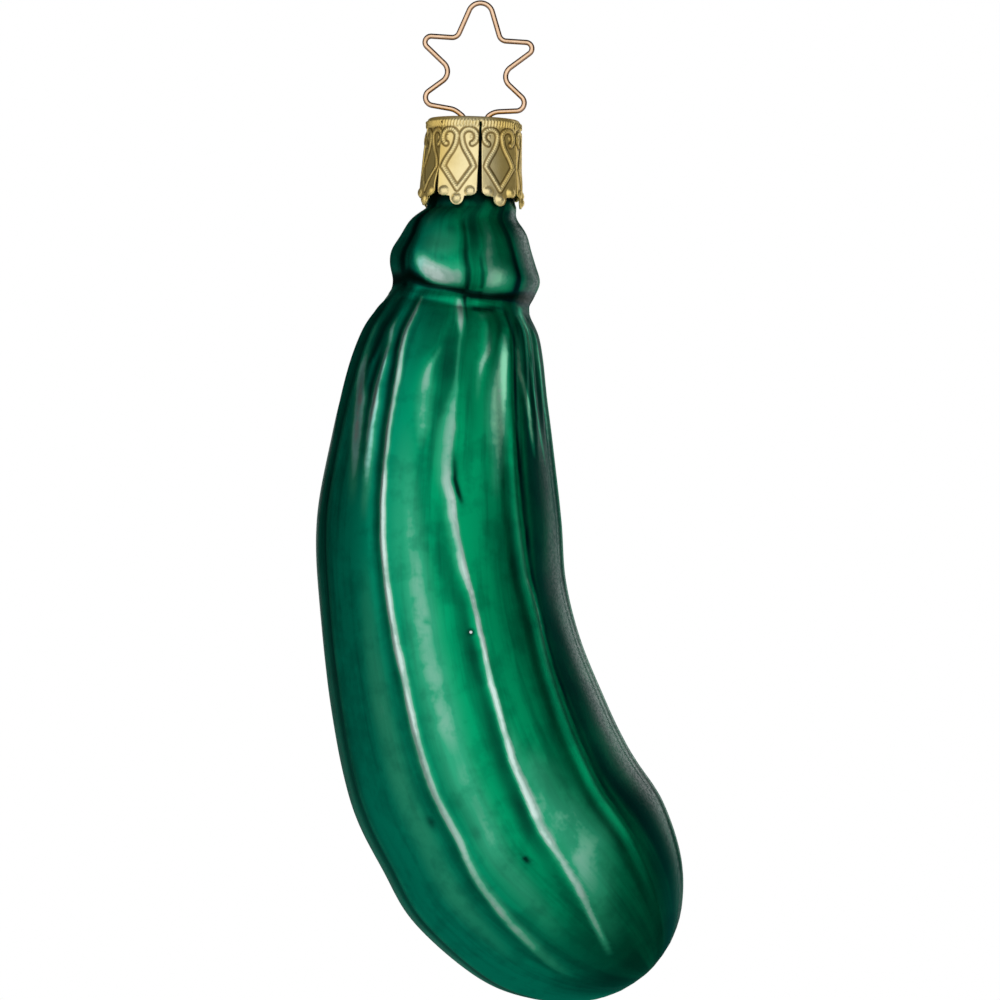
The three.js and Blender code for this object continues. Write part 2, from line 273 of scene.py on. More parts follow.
def placeLights():
    target = Vector(studio["target"])
    for name, (azimuth, elevation, distance, width, height, radiance) in studio["lights"].items():
        lamp = bpy.data.lights.new(name, "AREA")
        lamp.shape = "RECTANGLE"
        lamp.size, lamp.size_y = width, height
        lamp.energy = radiance * math.pi * width * height
        light = bpy.data.objects.new(name, lamp)
        a, e = math.radians(azimuth), math.radians(elevation)
        back = Vector((math.sin(a) * math.cos(e), -math.cos(a) * math.cos(e), math.sin(e)))
        light.location = target + distance * back
        light.rotation_euler = back.to_track_quat("Z", "Y").to_euler()
        light.visible_camera = False
        bpy.context.scene.collection.objects.link(light)


def paleFloor():
    material, tree, shader = newMaterial("paleFloor")
    setInputs(tree, shader, {"Base Color": studio["floorColour"], "Roughness": studio["floorRoughness"]})
    flat = placeNode(tree, "VectorMath", {0: objectPlace(tree), 1: (1, 1, 0)}, operation="MULTIPLY")
    away = placeNode(tree, "VectorMath", {0: flat.outputs[0]}, operation="LENGTH")
    fade = mapTo(tree, away.outputs["Value"], *studio["floorFade"])
    seen = placeNode(tree, "LightPath").outputs["Is Camera Ray"]
    white = placeNode(tree, "Emission", {"Color": (1, 1, 1, 1), "Strength": 1.0}).outputs[0]
    share = mathOf(tree, "MULTIPLY", fade, seen)
    mixed = placeNode(tree, "MixShader", {0: share, 1: shader.outputs[0], 2: white})
    output = next(node for node in tree.nodes if node.type == "OUTPUT_MATERIAL")
    tree.links.new(mixed.outputs[0], output.inputs["Surface"])
    return material


def buildFloor():
    bm = bmesh.new()
    bmesh.ops.create_circle(bm, cap_ends=True, segments=studio["floorSides"], radius=studio["floorRadius"])
    bmesh.ops.translate(bm, vec=(0, 0, studio["floorHeight"]), verts=bm.verts)
    mesh = bpy.data.meshes.new("floor")
    bm.to_mesh(mesh)
    bm.free()
    mesh.materials.append(paleFloor())
    floor = bpy.data.objects.new("floor", mesh)
    bpy.context.scene.collection.objects.link(floor)
    floor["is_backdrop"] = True


def buildWorld():
    # white to the camera; metal sees a white backdrop straight behind the object and a dark room elsewhere
    world = bpy.data.worlds.new("softRoom")
    world.use_nodes = True
    bpy.context.scene.world = world
    tree = world.node_tree
    tree.nodes.clear()
    rays = placeNode(tree, "LightPath").outputs
    ahead = partsOf(tree, placeNode(tree, "TexCoord").outputs["Generated"])["Y"]
    backdrop = mapTo(tree, ahead, *studio["backdropEdge"], studio["darkSide"], 1.0)
    shiny = mathOf(tree, "MAXIMUM", rays["Is Glossy Ray"], rays["Is Transmission Ray"])
    level = mixValue(tree, shiny, studio["fillLight"], backdrop)
    level = mixValue(tree, rays["Is Camera Ray"], level, 1.0)
    sky = placeNode(tree, "Background", {"Color": (1, 1, 1, 1), "Strength": level})
    out = placeNode(tree, "OutputWorld")
    tree.links.new(sky.outputs[0], out.inputs["Surface"])
    world.cycles.sampling_method = "NONE"


placeCamera()
placeLights()
buildFloor()
buildWorld()
bpy.context.scene.view_settings.view_transform = "Standard"
print("camera, floor and light in place")


# sizes that more than one piece uses: everything on the object is in millimetres and degrees

shared = {
    "wireDiameter": 0.65,
    "lean": 3.8,                      # of the star, clockwise as seen from the front
    "topBend": 1.6,
    "capDrop": 0.9,                   # top of the cap below the star's feet
    "capSide": -1.0,                  # axis of the cap and the neck, sideways from the hang point
    "capHeight": 11.5,
    "sheet": 0.3,
    "neckGap": 0.3,                   # between the rim of the neck and the cap
    "legSpacing": 3.0,
    "holesSide": 0.35,                # middle of the two holes, sideways from the cap's axis
}
wireRadius = shared["wireDiameter"] / 2
capSide = shared["capSide"]
capHeight = shared["capHeight"]


def holeSide(s):
    return capSide + shared["holesSide"] + s * shared["legSpacing"] / 2


# star wire

star = {
    # half width, rise above the feet and bend
    "lowerArm": (7.95, 0.85, 1.05),
    "waist": (2.95, 5, 1.5),
    "upperArm": (8.35, 9.55, 0.8),
    "crotch": (2.85, 9.55, 1.0),
    "foot": (2.55, 0.25, 2.4),
    "topRise": 17.35,
    "legLength": 19.0,                # below the top of the cap
    "legSplay": 5.0,                  # depth at which the legs have spread
    "legStart": 0.3,                  # straight run below the sheet
    "legToe": 1.0,
    "legBend": 1.5,
    "legReach": 2.875,                # of each leg in the neck, from its axis
    "sides": 20,
    "drawnRadius": 0.345,
    "turnPerStep": 6,
    # colours of the copper: along the wire, then painted shade on its flanks and at its outline, and where
    # those two come in
    "bright": (0.95, 0.68, 0.47, 1),
    "dull": (0.82, 0.56, 0.36, 1),
    "flankShade": (0.66, 0.40, 0.24, 1),
    "flankShadeFrom": (0.1, 0.55),
    # darkest painted shade, at the outline of the round wire
    "outline": (0.16, 0.09, 0.05, 1),
    "outlineShadeFrom": (0.6, 0.95),
    "edgeTint": (0.3, 0.18, 0.1, 1),
    "roughness": (0.22, 0.27),
    "grain": (700.0, 2500.0),
}
topHalfAngle = math.atan(star["crotch"][0] / (star["topRise"] - star["upperArm"][1]))
topBendCentre = star["topRise"] - shared["topBend"] / math.sin(topHalfAngle)


def onStar(side, rise):
    # from the star's own upright frame to the frame of the object
    lean = math.radians(shared["lean"])
    c, s = math.cos(lean), math.sin(lean)
    up = rise - topBendCentre
    return Vector((side * c + up * s, up * c - side * s - (shared["topBend"] - wireRadius)))


starFoot = onStar(0, 0).y
capTop = starFoot - shared["capDrop"]
capFoot = capTop - capHeight
neckTop = capTop - shared["sheet"] - shared["neckGap"]


def halfOfStar(s):
    names = ("foot", "lowerArm", "waist", "upperArm", "crotch")
    return [(onStar(s * star[name][0], star[name][1]), star[name][2]) for name in names]


def legOf(s):
    wall = capSide + s * star["legReach"]
    places = [
        (wall - s * star["legToe"], star["legLength"], 0),
        (wall, star["legLength"] - star["legToe"], star["legBend"] / 2),
        (wall, star["legSplay"], star["legBend"]),
        (holeSide(s), shared["sheet"] + star["legStart"], star["legBend"]),
        (holeSide(s), -wireRadius, star["legBend"] / 2),
    ]
    return [(Vector((x, capTop - depth)), bend) for x, depth, bend in places]


def roundedLine(corners, turnPerStep):
    # a line along the corners with a round bend at each, none longer than its two runs allow
    bends = []
    for i in range(1, len(corners) - 1):
        corner, radius = corners[i]
        back, on = corners[i - 1][0] - corner, corners[i + 1][0] - corner
        half = back.angle(on) / 2
        bends.append((corner, back, on, half, radius / math.tan(half)))

    def fit(i, j, run):
        other = bends[j][4] if 0 <= j < len(bends) else 0
        return min(1, 0.96 * run.length / (bends[i][4] + other))

    points = [corners[0][0]]
    for i, (corner, back, on, half, reach) in enumerate(bends):
        reach *= min(fit(i, i - 1, back), fit(i, i + 1, on))
        radius = reach * math.tan(half)
        middle = (back.normalized() + on.normalized()).normalized()
        centre = corner + middle * (radius / math.sin(half))
        start = corner + back.normalized() * reach - centre
        end = corner + on.normalized() * reach - centre
        sweep = start.angle_signed(end)
        count = max(2, math.ceil(abs(sweep) / turnPerStep))
        for k in range(count + 1):
            turn = -sweep * k / count
            c, s = math.cos(turn), math.sin(turn)
            points.append(centre + Vector((start.x * c - start.y * s, start.x * s + start.y * c)))
    points.append(corners[-1][0])
    return [p for i, p in enumerate(points) if i == 0 or (p - points[i - 1]).length > 1e-3]


def copperWire():
    material, tree, shader = newMaterial("copperWire")
    grain = grainOf(tree, objectPlace(tree), *star["grain"])
    drawn = noiseOf(tree, attributeOf(tree, "run", "Fac"), 0.35, 3.0)
    # painted shade: the copper darkens towards the flanks and outline of the round wire, which leaves its
    # middle light
    flankShade = attributeOf(tree, "side", "Fac")
    base = mixOf(tree, mapTo(tree, drawn, 0.35, 0.7), star["bright"], star["dull"])
    base = mixOf(tree, mapTo(tree, flankShade, *star["flankShadeFrom"]), base, star["flankShade"])
    base = mixOf(tree, mapTo(tree, flankShade, *star["outlineShadeFrom"]), base, star["outline"])
    rough = mapTo(tree, grain.outputs["Mask"], 0, 1, *star["roughness"])
    setInputs(tree, shader, {
        "Base Color": base, "Metallic": 1.0, "Roughness": rough, "Specular Tint": star["edgeTint"],
    })
    return material


def buildWire():
    corners = legOf(-1) + halfOfStar(-1) + [(onStar(0, star["topRise"]), shared["topBend"])]
    corners += halfOfStar(1)[::-1] + legOf(1)[::-1]
    line = roundedLine(corners, math.radians(star["turnPerStep"]))

    bm = bmesh.new()
    run = bm.verts.layers.float.new("run")
    side = bm.verts.layers.float.new("side")
    column = bm.verts.layers.int.new("column")
    verts, edges = startRing(bm, star["sides"], column)
    ends = [edges]
    gone = 0.0
    for i, p in enumerate(line):
        if i:
            verts, edges = growRing(bm, edges)
            gone += (p - line[i - 1]).length
        along = (line[min(i + 1, len(line) - 1)] - line[max(i - 1, 0)]).normalized()
        across = Vector((-along.y, along.x))
        for vert in verts:
            angle = 2 * math.pi * vert[column] / star["sides"]
            q = p + across * (star["drawnRadius"] * math.cos(angle))
            vert.co = (q.x, star["drawnRadius"] * math.sin(angle), q.y)
            vert[run] = gone
            # how far round the wire this point faces, which sets the painted shade on its flanks
            vert[side] = abs(math.cos(angle))
    ends.append(edges)
    for rim in ends:
        bmesh.ops.holes_fill(bm, edges=rim, sides=star["sides"])
    bmesh.ops.recalc_face_normals(bm, faces=bm.faces)
    finishPiece(bm, "star_wire", copperWire(), "hanger", "star_hanger")


buildWire()
print("star wire made")


# crown cap

cap = {
    "topRadius": 6.05,
    "shoulder": 0.55,
    "shoulderSteps": 6,
    "petals": 7,
    "turn": -17,                      # middle of the front petal
    "flare": 0.75,
    "flat": (0.85, 0.5, 0.5, 0.6, 0.5, 0.6, 0.5),     # 0 follows the round skirt, 1 is a flat petal
    "flatDepth": 5.0,                 # where a flat petal is as flat as it gets
    "flatSettle": 0.42,               # how far it moves in, as a share of what its edges stand out
    "lean": (0.0, 0.05, -0.1, 0.1, -0.05, 0.1, 0.0),  # outwards at the foot
    "leanStart": 1.0,
    "tuckedPetal": 6,
    "tuck": (0.3, 0.4),               # inwards, and sideways under its neighbour
    "tuckDepths": (0.6, 1.4, 5.0, 9.0),               # over which the tuck comes and goes
    "tilt": 0.03,                     # slope of the cap, and the depth that it turns about
    "tiltDepth": 5.0,
    "slitStart": 0.7,
    "slitTop": 0.26,
    "slitFoot": 0.85,
    "cornerRadius": 0.8,
    "tongueRadius": 0.95,
    "tongueDrop": 1.15,
    "ribs": 12,
    "ribStart": (0.3, 0.54),          # depths over which the ribs begin and end
    "ribEnd": (1.17, 1.47),
    "ribDepth": 0.22,
    "ribSlant": 0.35,
    "columns": 56,
    "rows": 100,
    "wall": 0.26,
    "holeRadius": 0.575,
    "holeSides": 28,
    "holeCollar": 0.1,                # narrow ring round a hole that keeps the top's shading flat
    # relief of a petal, as places sideways from its middle and below the top of the cap
    "beadHalf": 0.29,
    "beadRise": 0.2,
    "outline": (0.1, 1.35, 0.35),     # sink beside the bead, and its place and half width in beads
    "curlRadius": 1.0,
    "curlPlace": (1.32, 2.70),
    "curlDegrees": (-62, 186, 8),
    "curlBulb": (0.34, 0.22),         # radius and rise
    "curlDot": (1.62, 2.66, 0.24, 0.12),
    "stem": ((0.5, 3.55), (0.87, 4.35), (1.4, 5.15), (1.83, 5.9)),
    "stemCuts": 6,
    "lozengeSide": (2.07, 6.54),
    "lozengeTip": 9.42,
    "lozengeCuts": 16,
    "lozengeDish": 0.2,
    "domes": ((1.75, 9.72, 0.7, 0.4), (-1.75, 9.72, 0.7, 0.4), (0.0, 10.66, 0.68, 0.4)),
    "domePower": 0.75,
    "plain": 4.0,                     # distance from the bead, in beads, that counts as a plain face
    # colours of the gilding with painted light: paler at the very front that faces the light, richer and
    # darker behind as painted shade; the places along Y between them
    "lightGold": ((0.98, 0.84, 0.46, 1), (0.92, 0.70, 0.24, 1)),
    "deepGold": ((0.90, 0.75, 0.38, 1), (0.80, 0.58, 0.17, 1)),
    "shadedBehindFrom": (-6.2, -4.8),
    # colour of the dark line beside the bead: painted shade in the groove, partly tarnish
    "groove": (0.20, 0.12, 0.02, 1),
    "grooveLine": (1.3, 0.2, 0.7, 0.85),              # place, half widths in beads, and strength
    "ropePitch": 0.3,
    "cloudScale": 260.0,
    "bump": (0.7, 0.035),
    "roughness": (0.34, 0.44),
    "grain": (1100.0, 5000.0),
}
petalPitch = 2 * math.pi / cap["petals"]


def skirtRadius(depth):
    share = np.clip((depth - cap["shoulder"]) / (capHeight - cap["shoulder"]), 0, 1)
    return cap["topRadius"] + cap["flare"] * share


def petalHalf(depth):
    slit = blend(cap["slitTop"], cap["slitFoot"], (depth - cap["slitStart"]) / (capHeight - cap["slitStart"]))
    return (skirtRadius(depth) * petalPitch - slit) / 2


def footDepth(along, half):
    # depth of a petal's cut edge: a straight foot with round corners and a half-round tongue
    along = np.abs(along)
    foot = capHeight - cap["tongueDrop"]
    corner = cap["cornerRadius"]
    into = np.clip((along - (half - corner)) / corner, 0, 1)
    edge = foot - corner * (1 - np.sqrt(1 - into ** 2))
    middle = capHeight - cap["tongueRadius"]
    tongue = middle + np.sqrt(np.clip(cap["tongueRadius"] ** 2 - along ** 2, 0, None))
    return np.where(along < cap["tongueRadius"], np.maximum(edge, tongue), edge)


def scrollPath():
    # right half of the relief: from the bulb of the curl round to the tip of the lozenge
    side, depth = cap["curlPlace"]
    path = []
    for degrees in range(*cap["curlDegrees"]):
        a = math.radians(degrees)
        path.append((side + cap["curlRadius"] * math.cos(a), depth - cap["curlRadius"] * math.sin(a)))
    stem = [path[-1], *cap["stem"], cap["lozengeSide"]]
    path += [tuple(p) for p in splineThrough(stem, [cap["stemCuts"]] * (len(stem) - 1))[1:]]
    corner, tip = np.array(cap["lozengeSide"]), np.array((0.0, cap["lozengeTip"]))
    cuts = cap["lozengeCuts"]
    path += [tuple(blend(corner, tip, k / cuts)) for k in range(1, cuts + 1)]
    return np.array(path)


def distanceTo(path, x, y):
    # nearest distance to a broken line, and how far along the line that is
    best = np.full(x.shape, 1e9)
    where = np.zeros(x.shape)
    gone = 0.0
    for (ax, ay), (bx, by) in zip(path[:-1], path[1:]):
        dx, dy = bx - ax, by - ay
        size = math.hypot(dx, dy)
        t = np.clip(((x - ax) * dx + (y - ay) * dy) / (size * size), 0, 1)
        d = np.hypot(x - ax - t * dx, y - ay - t * dy)
        nearer = d < best
        best = np.where(nearer, d, best)
        where = np.where(nearer, gone + t * size, where)
        gone += size
    return best, where


def ribsOf(along, depth):
    # slanting ribs of the milled band, and how strong the band is at this depth
    across = along / (2 * petalHalf(cap["slitStart"])) + 0.5
    phase = 2 * math.pi * (cap["ribs"] * across + cap["ribSlant"] * (depth - 1))
    band = smoothStep(depth, *cap["ribStart"]) * (1 - smoothStep(depth, *cap["ribEnd"]))
    return 0.5 - 0.5 * np.cos(phase), band


def petalRelief(along, depth, path):
    # rise of the surface, distance from the bead in beads, and how far along the bead
    side = np.abs(along)
    away, run = distanceTo(path, side, depth)
    share = away / cap["beadHalf"]
    sink, middle, half = cap["outline"]
    bead = cap["beadRise"] * dome(share) - sink * bell(share - middle, half)
    bulbRadius, bulbRise = cap["curlBulb"]
    bulb = np.hypot(side - path[0][0], depth - path[0][1]) / bulbRadius
    out = np.maximum(bead, bulbRise * dome(bulb))
    dotSide, dotDepth, dotRadius, dotRise = cap["curlDot"]
    out = np.maximum(out, dotRise * dome(np.hypot(side - dotSide, depth - dotDepth) / dotRadius))
    # hollow face of the lozenge
    cornerSide, cornerDepth = cap["lozengeSide"]
    inward = side / cornerSide + np.abs(depth - cornerDepth) / (cap["lozengeTip"] - cornerDepth)
    out -= cap["lozengeDish"] * np.clip(1 - inward ** 2, 0, 1)
    for domeSide, domeDepth, domeRadius, domeRise in cap["domes"]:
        reach = np.hypot(along - domeSide, depth - domeDepth) / domeRadius
        out = np.maximum(out, domeRise * np.clip(1 - reach ** 2, 0, 1) ** cap["domePower"])
    ribs, band = ribsOf(along, depth)
    share = blend(share, 1.5 + 2 * ribs, band)
    return out + cap["ribDepth"] * band * ribs, share, run


def tilted(x, y, z):
    # the cap sits a little askew on the neck
    away, up = x - capSide, z - capTop + cap["tiltDepth"]
    return x + cap["tilt"] * up, y, z - cap["tilt"] * away


def capPoint(petal, along, depth, out):
    radius = skirtRadius(depth)
    turn = along / radius
    flat = cap["flat"][petal] * smoothStep(depth, cap["slitStart"], cap["flatDepth"])
    edges = radius * (1 / math.cos(petalPitch / 2) - 1)
    radius = radius + out + flat * (radius * (1 / np.cos(turn) - 1) - edges * cap["flatSettle"])
    radius = radius + cap["lean"][petal] * smoothStep(depth, cap["leanStart"], capHeight)
    if petal == cap["tuckedPetal"]:
        inwards, sideways = cap["tuck"]
        start, full, going, gone = cap["tuckDepths"]
        share = smoothStep(depth, start, full) * (1 - smoothStep(depth, going, gone))
        radius = radius - inwards * share
        turn = turn + sideways / radius * share
    angle = math.radians(cap["turn"]) + petal * petalPitch + turn
    return tilted(capSide + radius * np.sin(angle), -radius * np.cos(angle), capTop - depth)


def pressedGold():
    material, tree, shader = newMaterial("pressedGold")
    place = objectPlace(tree)
    lines = partsOf(tree, attributeOf(tree, "relief"))
    grain = grainOf(tree, place, *cap["grain"])
    cloudy = noiseOf(tree, place, cap["cloudScale"], 3.0)
    # painted light: the front of the cap that faces the light is paler, the rest richer and darker
    shadedBehind = mapTo(tree, partsOf(tree, place)["Y"], *(edge * mm for edge in cap["shadedBehindFrom"]))
    light = mixOf(tree, shadedBehind, *cap["lightGold"])
    deep = mixOf(tree, shadedBehind, *cap["deepGold"])
    gold = mixOf(tree, mapTo(tree, cloudy, 0.35, 0.7), light, deep)
    # dark line on both sides of the bead: painted shade in the groove, partly tarnish
    middle, full, none, strength = cap["grooveLine"]
    away = mathOf(tree, "ABSOLUTE", mathOf(tree, "SUBTRACT", lines["X"], middle))
    dark = mathOf(tree, "MULTIPLY", mapTo(tree, away, full, none, 1.0, 0.0), strength)
    base = mixOf(tree, dark, gold, cap["groove"])
    # twist of the bead, which is pressed like a rope
    rope = mathOf(tree, "SINE", mathOf(tree, "MULTIPLY", lines["Y"], 2 * math.pi / cap["ropePitch"]))
    twist = mathOf(tree, "MULTIPLY", rope, mapTo(tree, lines["X"], 0.5, 0.95, 1.0, 0.0))
    height = mathOf(tree, "MULTIPLY_ADD", twist, 0.6, grain.outputs["Height"])
    rough = mapTo(tree, cloudy, 0.3, 0.7, *cap["roughness"])
    setInputs(tree, shader, {
        "Base Color": base, "Metallic": 0.8, "Roughness": rough, "Normal": bumpOf(tree, height, *cap["bump"]),
    })
    return material


def cutHoles(bm, relief):
    # the two holes for the wire; gives the edges that the flat top meets
    rims = []
    spread = 1 + cap["holeCollar"] / cap["holeRadius"]
    for s in (-1, 1):
        hole = bmesh.ops.create_circle(bm, segments=cap["holeSides"], radius=cap["holeRadius"])["verts"]
        collar, rim = growRing(bm, list({edge for vert in hole for edge in vert.link_edges}))
        bmesh.ops.scale(bm, vec=(spread, spread, 1), verts=collar)
        bmesh.ops.translate(bm, vec=tilted(holeSide(s), 0, capTop), verts=hole + collar)
        for vert in hole + collar:
            vert.co.z -= cap["tilt"] * (vert.co.x - holeSide(s))
            vert[relief] = (cap["plain"], 0, 0)
        rims += rim
    return rims


def buildCap():
    path = scrollPath()
    count = cap["columns"]
    shares = np.linspace(-1, 1, count)
    bm = bmesh.new()
    column = bm.verts.layers.int.new("column")
    relief = bm.verts.layers.float_vector.new("relief")

    def placeRow(verts, along, depth, fixedRadius=None):
        out, share, run = petalRelief(along, depth, path)
        for vert in verts:
            petal, j = divmod(vert[column], count)
            if fixedRadius is None:
                vert.co = capPoint(petal, along[j], depth[j], out[j])
            else:
                angle = math.radians(cap["turn"]) + petal * petalPitch + along[j] / skirtRadius(depth[j])
                x, y = capSide + fixedRadius * math.sin(angle), -fixedRadius * math.cos(angle)
                vert.co = tilted(x, y, capTop - depth[j])
            vert[relief] = (min(share[j], cap["plain"]), run[j], out[j])

    # edge of the flat top, round shoulder and milled band
    top = petalHalf(cap["slitStart"]) * shares
    corner = cap["topRadius"] - cap["shoulder"]
    verts, edges = startRing(bm, count * cap["petals"], column)
    discEdges = edges
    placeRow(verts, top, np.zeros(count), corner)
    steps = cap["shoulderSteps"]
    for step in range(1, steps + 1):
        verts, edges = growRing(bm, edges)
        angle = math.pi / 2 * step / steps
        depth = np.full(count, cap["shoulder"] * (1 - math.cos(angle)))
        radius = corner + cap["shoulder"] * math.sin(angle)
        placeRow(verts, top, depth, radius if step < steps else None)
    verts, edges = growRing(bm, edges)
    placeRow(verts, top, np.full(count, cap["slitStart"]))

    # each petal goes on by itself, so the strips between them stay open
    edges = [e for e in edges if abs(e.verts[0][column] - e.verts[1][column]) == 1
             and max(e.verts[0][column], e.verts[1][column]) % count]
    half = petalHalf(capHeight)
    foot = footDepth(half * shares, half)
    for row in range(1, cap["rows"] + 1):
        verts, edges = growRing(bm, edges)
        depth = blend(cap["slitStart"], foot, row / cap["rows"])
        placeRow(verts, petalHalf(depth) * shares, depth)

    rims = discEdges + cutHoles(bm, relief)
    bmesh.ops.triangle_fill(bm, edges=rims, use_beauty=True, use_dissolve=False, normal=(0, 0, 1))
    bmesh.ops.recalc_face_normals(bm, faces=bm.faces)
    upward = sum(1 if face.normal.z > 0 else -1 for face in bm.faces if abs(face.normal.z) > 0.99)
    if upward < 0:
        bmesh.ops.reverse_faces(bm, faces=bm.faces)

    piece = finishPiece(bm, "crown_cap_sheet", pressedGold(), "cap", "crown_cap")
    wall = piece.modifiers.new("wall", "SOLIDIFY")
    wall.thickness = cap["wall"] * mm
    wall.offset = -1


buildCap()
print("crown cap made")


# glass zucchini

glass = {
    "around": 320,
    "frontFiner": 0.3,                # share by which the columns are closer at the front
    "outerStep": 0.54,
    "innerStep": 2.5,
    "stemFiner": (0.65, 15.5),        # share of the step, above this depth
    "neckRadius": 4.6,
    "boreRadius": 3.7,
    "neckRings": (9, 4),              # outside and inside
    "flareLength": 4.5,
    "flareCuts": (4, 4, 4),
    "footClearance": 0.65,
    "footRadius": 6.5,                # of the inside of the cap at its foot
    "depthShare": 0.95,               # thickness from front to back, as a share of the width
    "pinch": 11.9,
    "endLength": 23.1,
    "endHeading": 44,
    "endSections": (22, 42, 60, 75, 86),
    "wall": 0.9,
    # sideways place, depth below the cap, radius over the crests and heading in degrees
    "stations": [
        (-2.3, 1.7, 6.85, -1.5), (-2.15, 4.2, 8.45, -4), (-2.2, 6.5, 9.55, -6.5),
        (-2.05, 8.4, 9.95, -7.5), (-2.2, 10.4, 9.4, -7), (-2.7, 11.9, 9.15, -7.5),
        (-2.85, 13, 9.65, -8.5), (-2.95, 15, 10.8, -9.5), (-3.55, 18, 12.05, -10),
        (-4.25, 22.9, 13.25, -8), (-4.85, 30, 14.65, -4.5), (-5.4, 40.2, 16.1, -0.5),
        (-5, 50, 16.35, 6), (-3.2, 60.6, 17.05, 14.5), (-0.25, 70.9, 18.15, 22),
        (2.95, 77.6, 18.2, 29), (5.9, 82.5, 18.2, 36.5),
    ],
    # depths over which the flats of the stem come in and, counted from the pinch, the ridges of the fruit
    "stemStart": (0.0, 5.0),
    "fruitStart": (-1.2, 2.2),
    # corners between the flats of the stem, in degrees from the front towards +X
    "stemCorners": (-97, -43, 0.5, 14, 47, 87, 130, 173, 216),
    "stemHollow": 0.7,
    "stemSoft": 2.2,
    # swell of the stem under the cap, at its right: azimuth, half width, depth, half height and rise
    "stemSwell": (92, 42, 2.6, 1.5, 0.65),
    # mould line down the front of the stem: depths over which it comes and goes, the azimuths of its
    # band and that band's sink, then the azimuth, half width and sink of its groove
    "mouldDepths": (0.5, 3.0, 15, 22),
    "mouldBand": (-3, 2.5, 10, 17, 0.16),
    "mouldGroove": (3.5, 2.2, 0.14),
    # undercut of the stem, the lip below it and a second groove: depth from the pinch, half height, sink
    "undercut": (-0.8, 0.6, 0.4),
    "lip": (0.25, 0.35, -0.12),
    "secondGroove": (1.1, 0.3, 0.12),
    # crests of the fruit: the three at the front wander, given as depth and azimuth
    "frontCrests": (
        ((13, -31), (18, -31), (24, -28.5), (36, -27), (46, -25), (56, -22.5), (72, -21), (81, -23),
         (88, -28), (92, -32), (98, -38)),
        ((13, 2), (18, 6), (24, 7), (32, 2.5), (38, 5), (47, 11), (57, 14.5), (63, 16), (76, 12), (84, 9.5),
         (88, 5), (92, 0), (97, -9)),
        ((13, 40), (36, 39), (46, 42), (54, 46), (61, 45), (70, 43), (84, 41), (89, 39), (97, 33)),
    ),
    "otherCrests": (81.5, 117, 154, 189, 225, 261.5, 297.5),
    "otherStray": (-8, 82, 98),       # turn of the other crests at the blossom end, and its depths
    "crestHollow": 0.35,
    "crestSoft": 2.0,
    "crestBead": (0.12, 0.5),
    "crestGroove": (0.14, 1.3, 0.8),
    "crestFade": 12,                  # radius under which the ridges die away
    # shoulder folds between the crests: azimuth, first and last depth, height, half width in degrees
    "folds": (
        (-80, 12.5, 33, 0.35, 6), (-51.5, 19, 31, 0.22, 3.5), (-44.5, 13, 21, 0.25, 3.5),
        (-39.5, 19, 39, 0.35, 4.5), (-11, 18, 34, 0.15, 5), (22, 12.5, 25, 0.2, 4.5), (36, 15, 34, 0.25, 5),
        (52, 12.5, 30, 0.35, 4.5), (60, 12.5, 34, 0.3, 4), (71, 12.5, 32, 0.35, 5), (99, 12.5, 30, 0.35, 6.5),
        (136, 12.5, 33, 0.4, 6.5), (171, 12.5, 30, 0.35, 6.5), (207, 12.5, 34, 0.4, 6.5),
        (243, 12.5, 31, 0.35, 6.5),
    ),
    "foldEnds": (2.5, 12),            # lengths over which a fold comes and goes
    "foldSharpness": 1.6,
    # unevenness of the blown wall: waves round, length along, offset and height, then the settling
    "waves": ((1.6, 13, 5, 0.16), (4.5, 9, 0, 0.05)),
    "waveSettle": 0.05,
    "waveDepths": (0.5, 6.0),
    "waveRadius": 8,
}


def angleApart(a, b):
    return (a - b + 180) % 360 - 180


def facetDrop(corners, hollow, softness, angles):
    # drop below the crests as a share of the radius, with the corners rounded by a soft filter
    size = 1440
    fine = np.arange(size) * 360 / size
    ring = np.array(sorted(c % 360 for c in corners))
    following = np.append(ring[1:], ring[0] + 360)
    spot = (np.searchsorted(ring, fine, side="right") - 1) % len(ring)
    middle = (ring[spot] + following[spot]) / 2
    half = (following[spot] - ring[spot]) / 2
    share = np.clip(angleApart(fine, middle) / half, -1, 1)
    drop = hollow * np.radians(half) ** 2 / 2 * (1 - share ** 2)
    kernel = np.exp(-(angleApart(fine, 0) / softness) ** 2 / 2)
    soft = np.real(np.fft.ifft(np.fft.fft(drop) * np.fft.fft(kernel / kernel.sum())))
    soft -= soft.min()
    return np.interp(np.asarray(angles) % 360, np.append(fine, 360), np.append(soft, soft[0]))


def crestsAt(depth):
    made = []
    for path in glass["frontCrests"]:
        depths, azimuths = zip(*path)
        nearby = [np.interp(depth + shift, depths, azimuths) for shift in (-2, 0, 2)]
        made.append(float(np.mean(nearby)))
    stray = float(grow(depth, glass["otherStray"]))
    return made + [crest + stray for crest in glass["otherCrests"]]


def ridgeDrop(angles, depth, radius):
    # hollows between the crests, with a bead along each crest and a groove beside it
    size = math.radians(1) * max(radius, 1)
    crests = crestsAt(depth)
    rise, beadHalf = glass["crestBead"]
    sink, away, grooveHalf = glass["crestGroove"]
    drop = radius * facetDrop(crests, glass["crestHollow"], glass["crestSoft"], angles) + rise
    for crest in crests:
        apart = angleApart(angles, crest) * size
        drop += sink * bell(apart + away, grooveHalf) - rise * bell(apart, beadHalf)
    return drop * float(smoothStep(radius, 0, glass["crestFade"]))


def foldRise(angles, depth):
    rise = np.zeros(len(angles))
    coming, going = glass["foldEnds"]
    for azimuth, first, last, height, half in glass["folds"]:
        fade = float(smoothStep(depth, first, first + coming) * (1 - smoothStep(depth, last - going, last)))
        apart = angleApart(angles, azimuth) / half
        rise += fade * height * np.exp(-glass["foldSharpness"] * apart ** 2)
    return rise


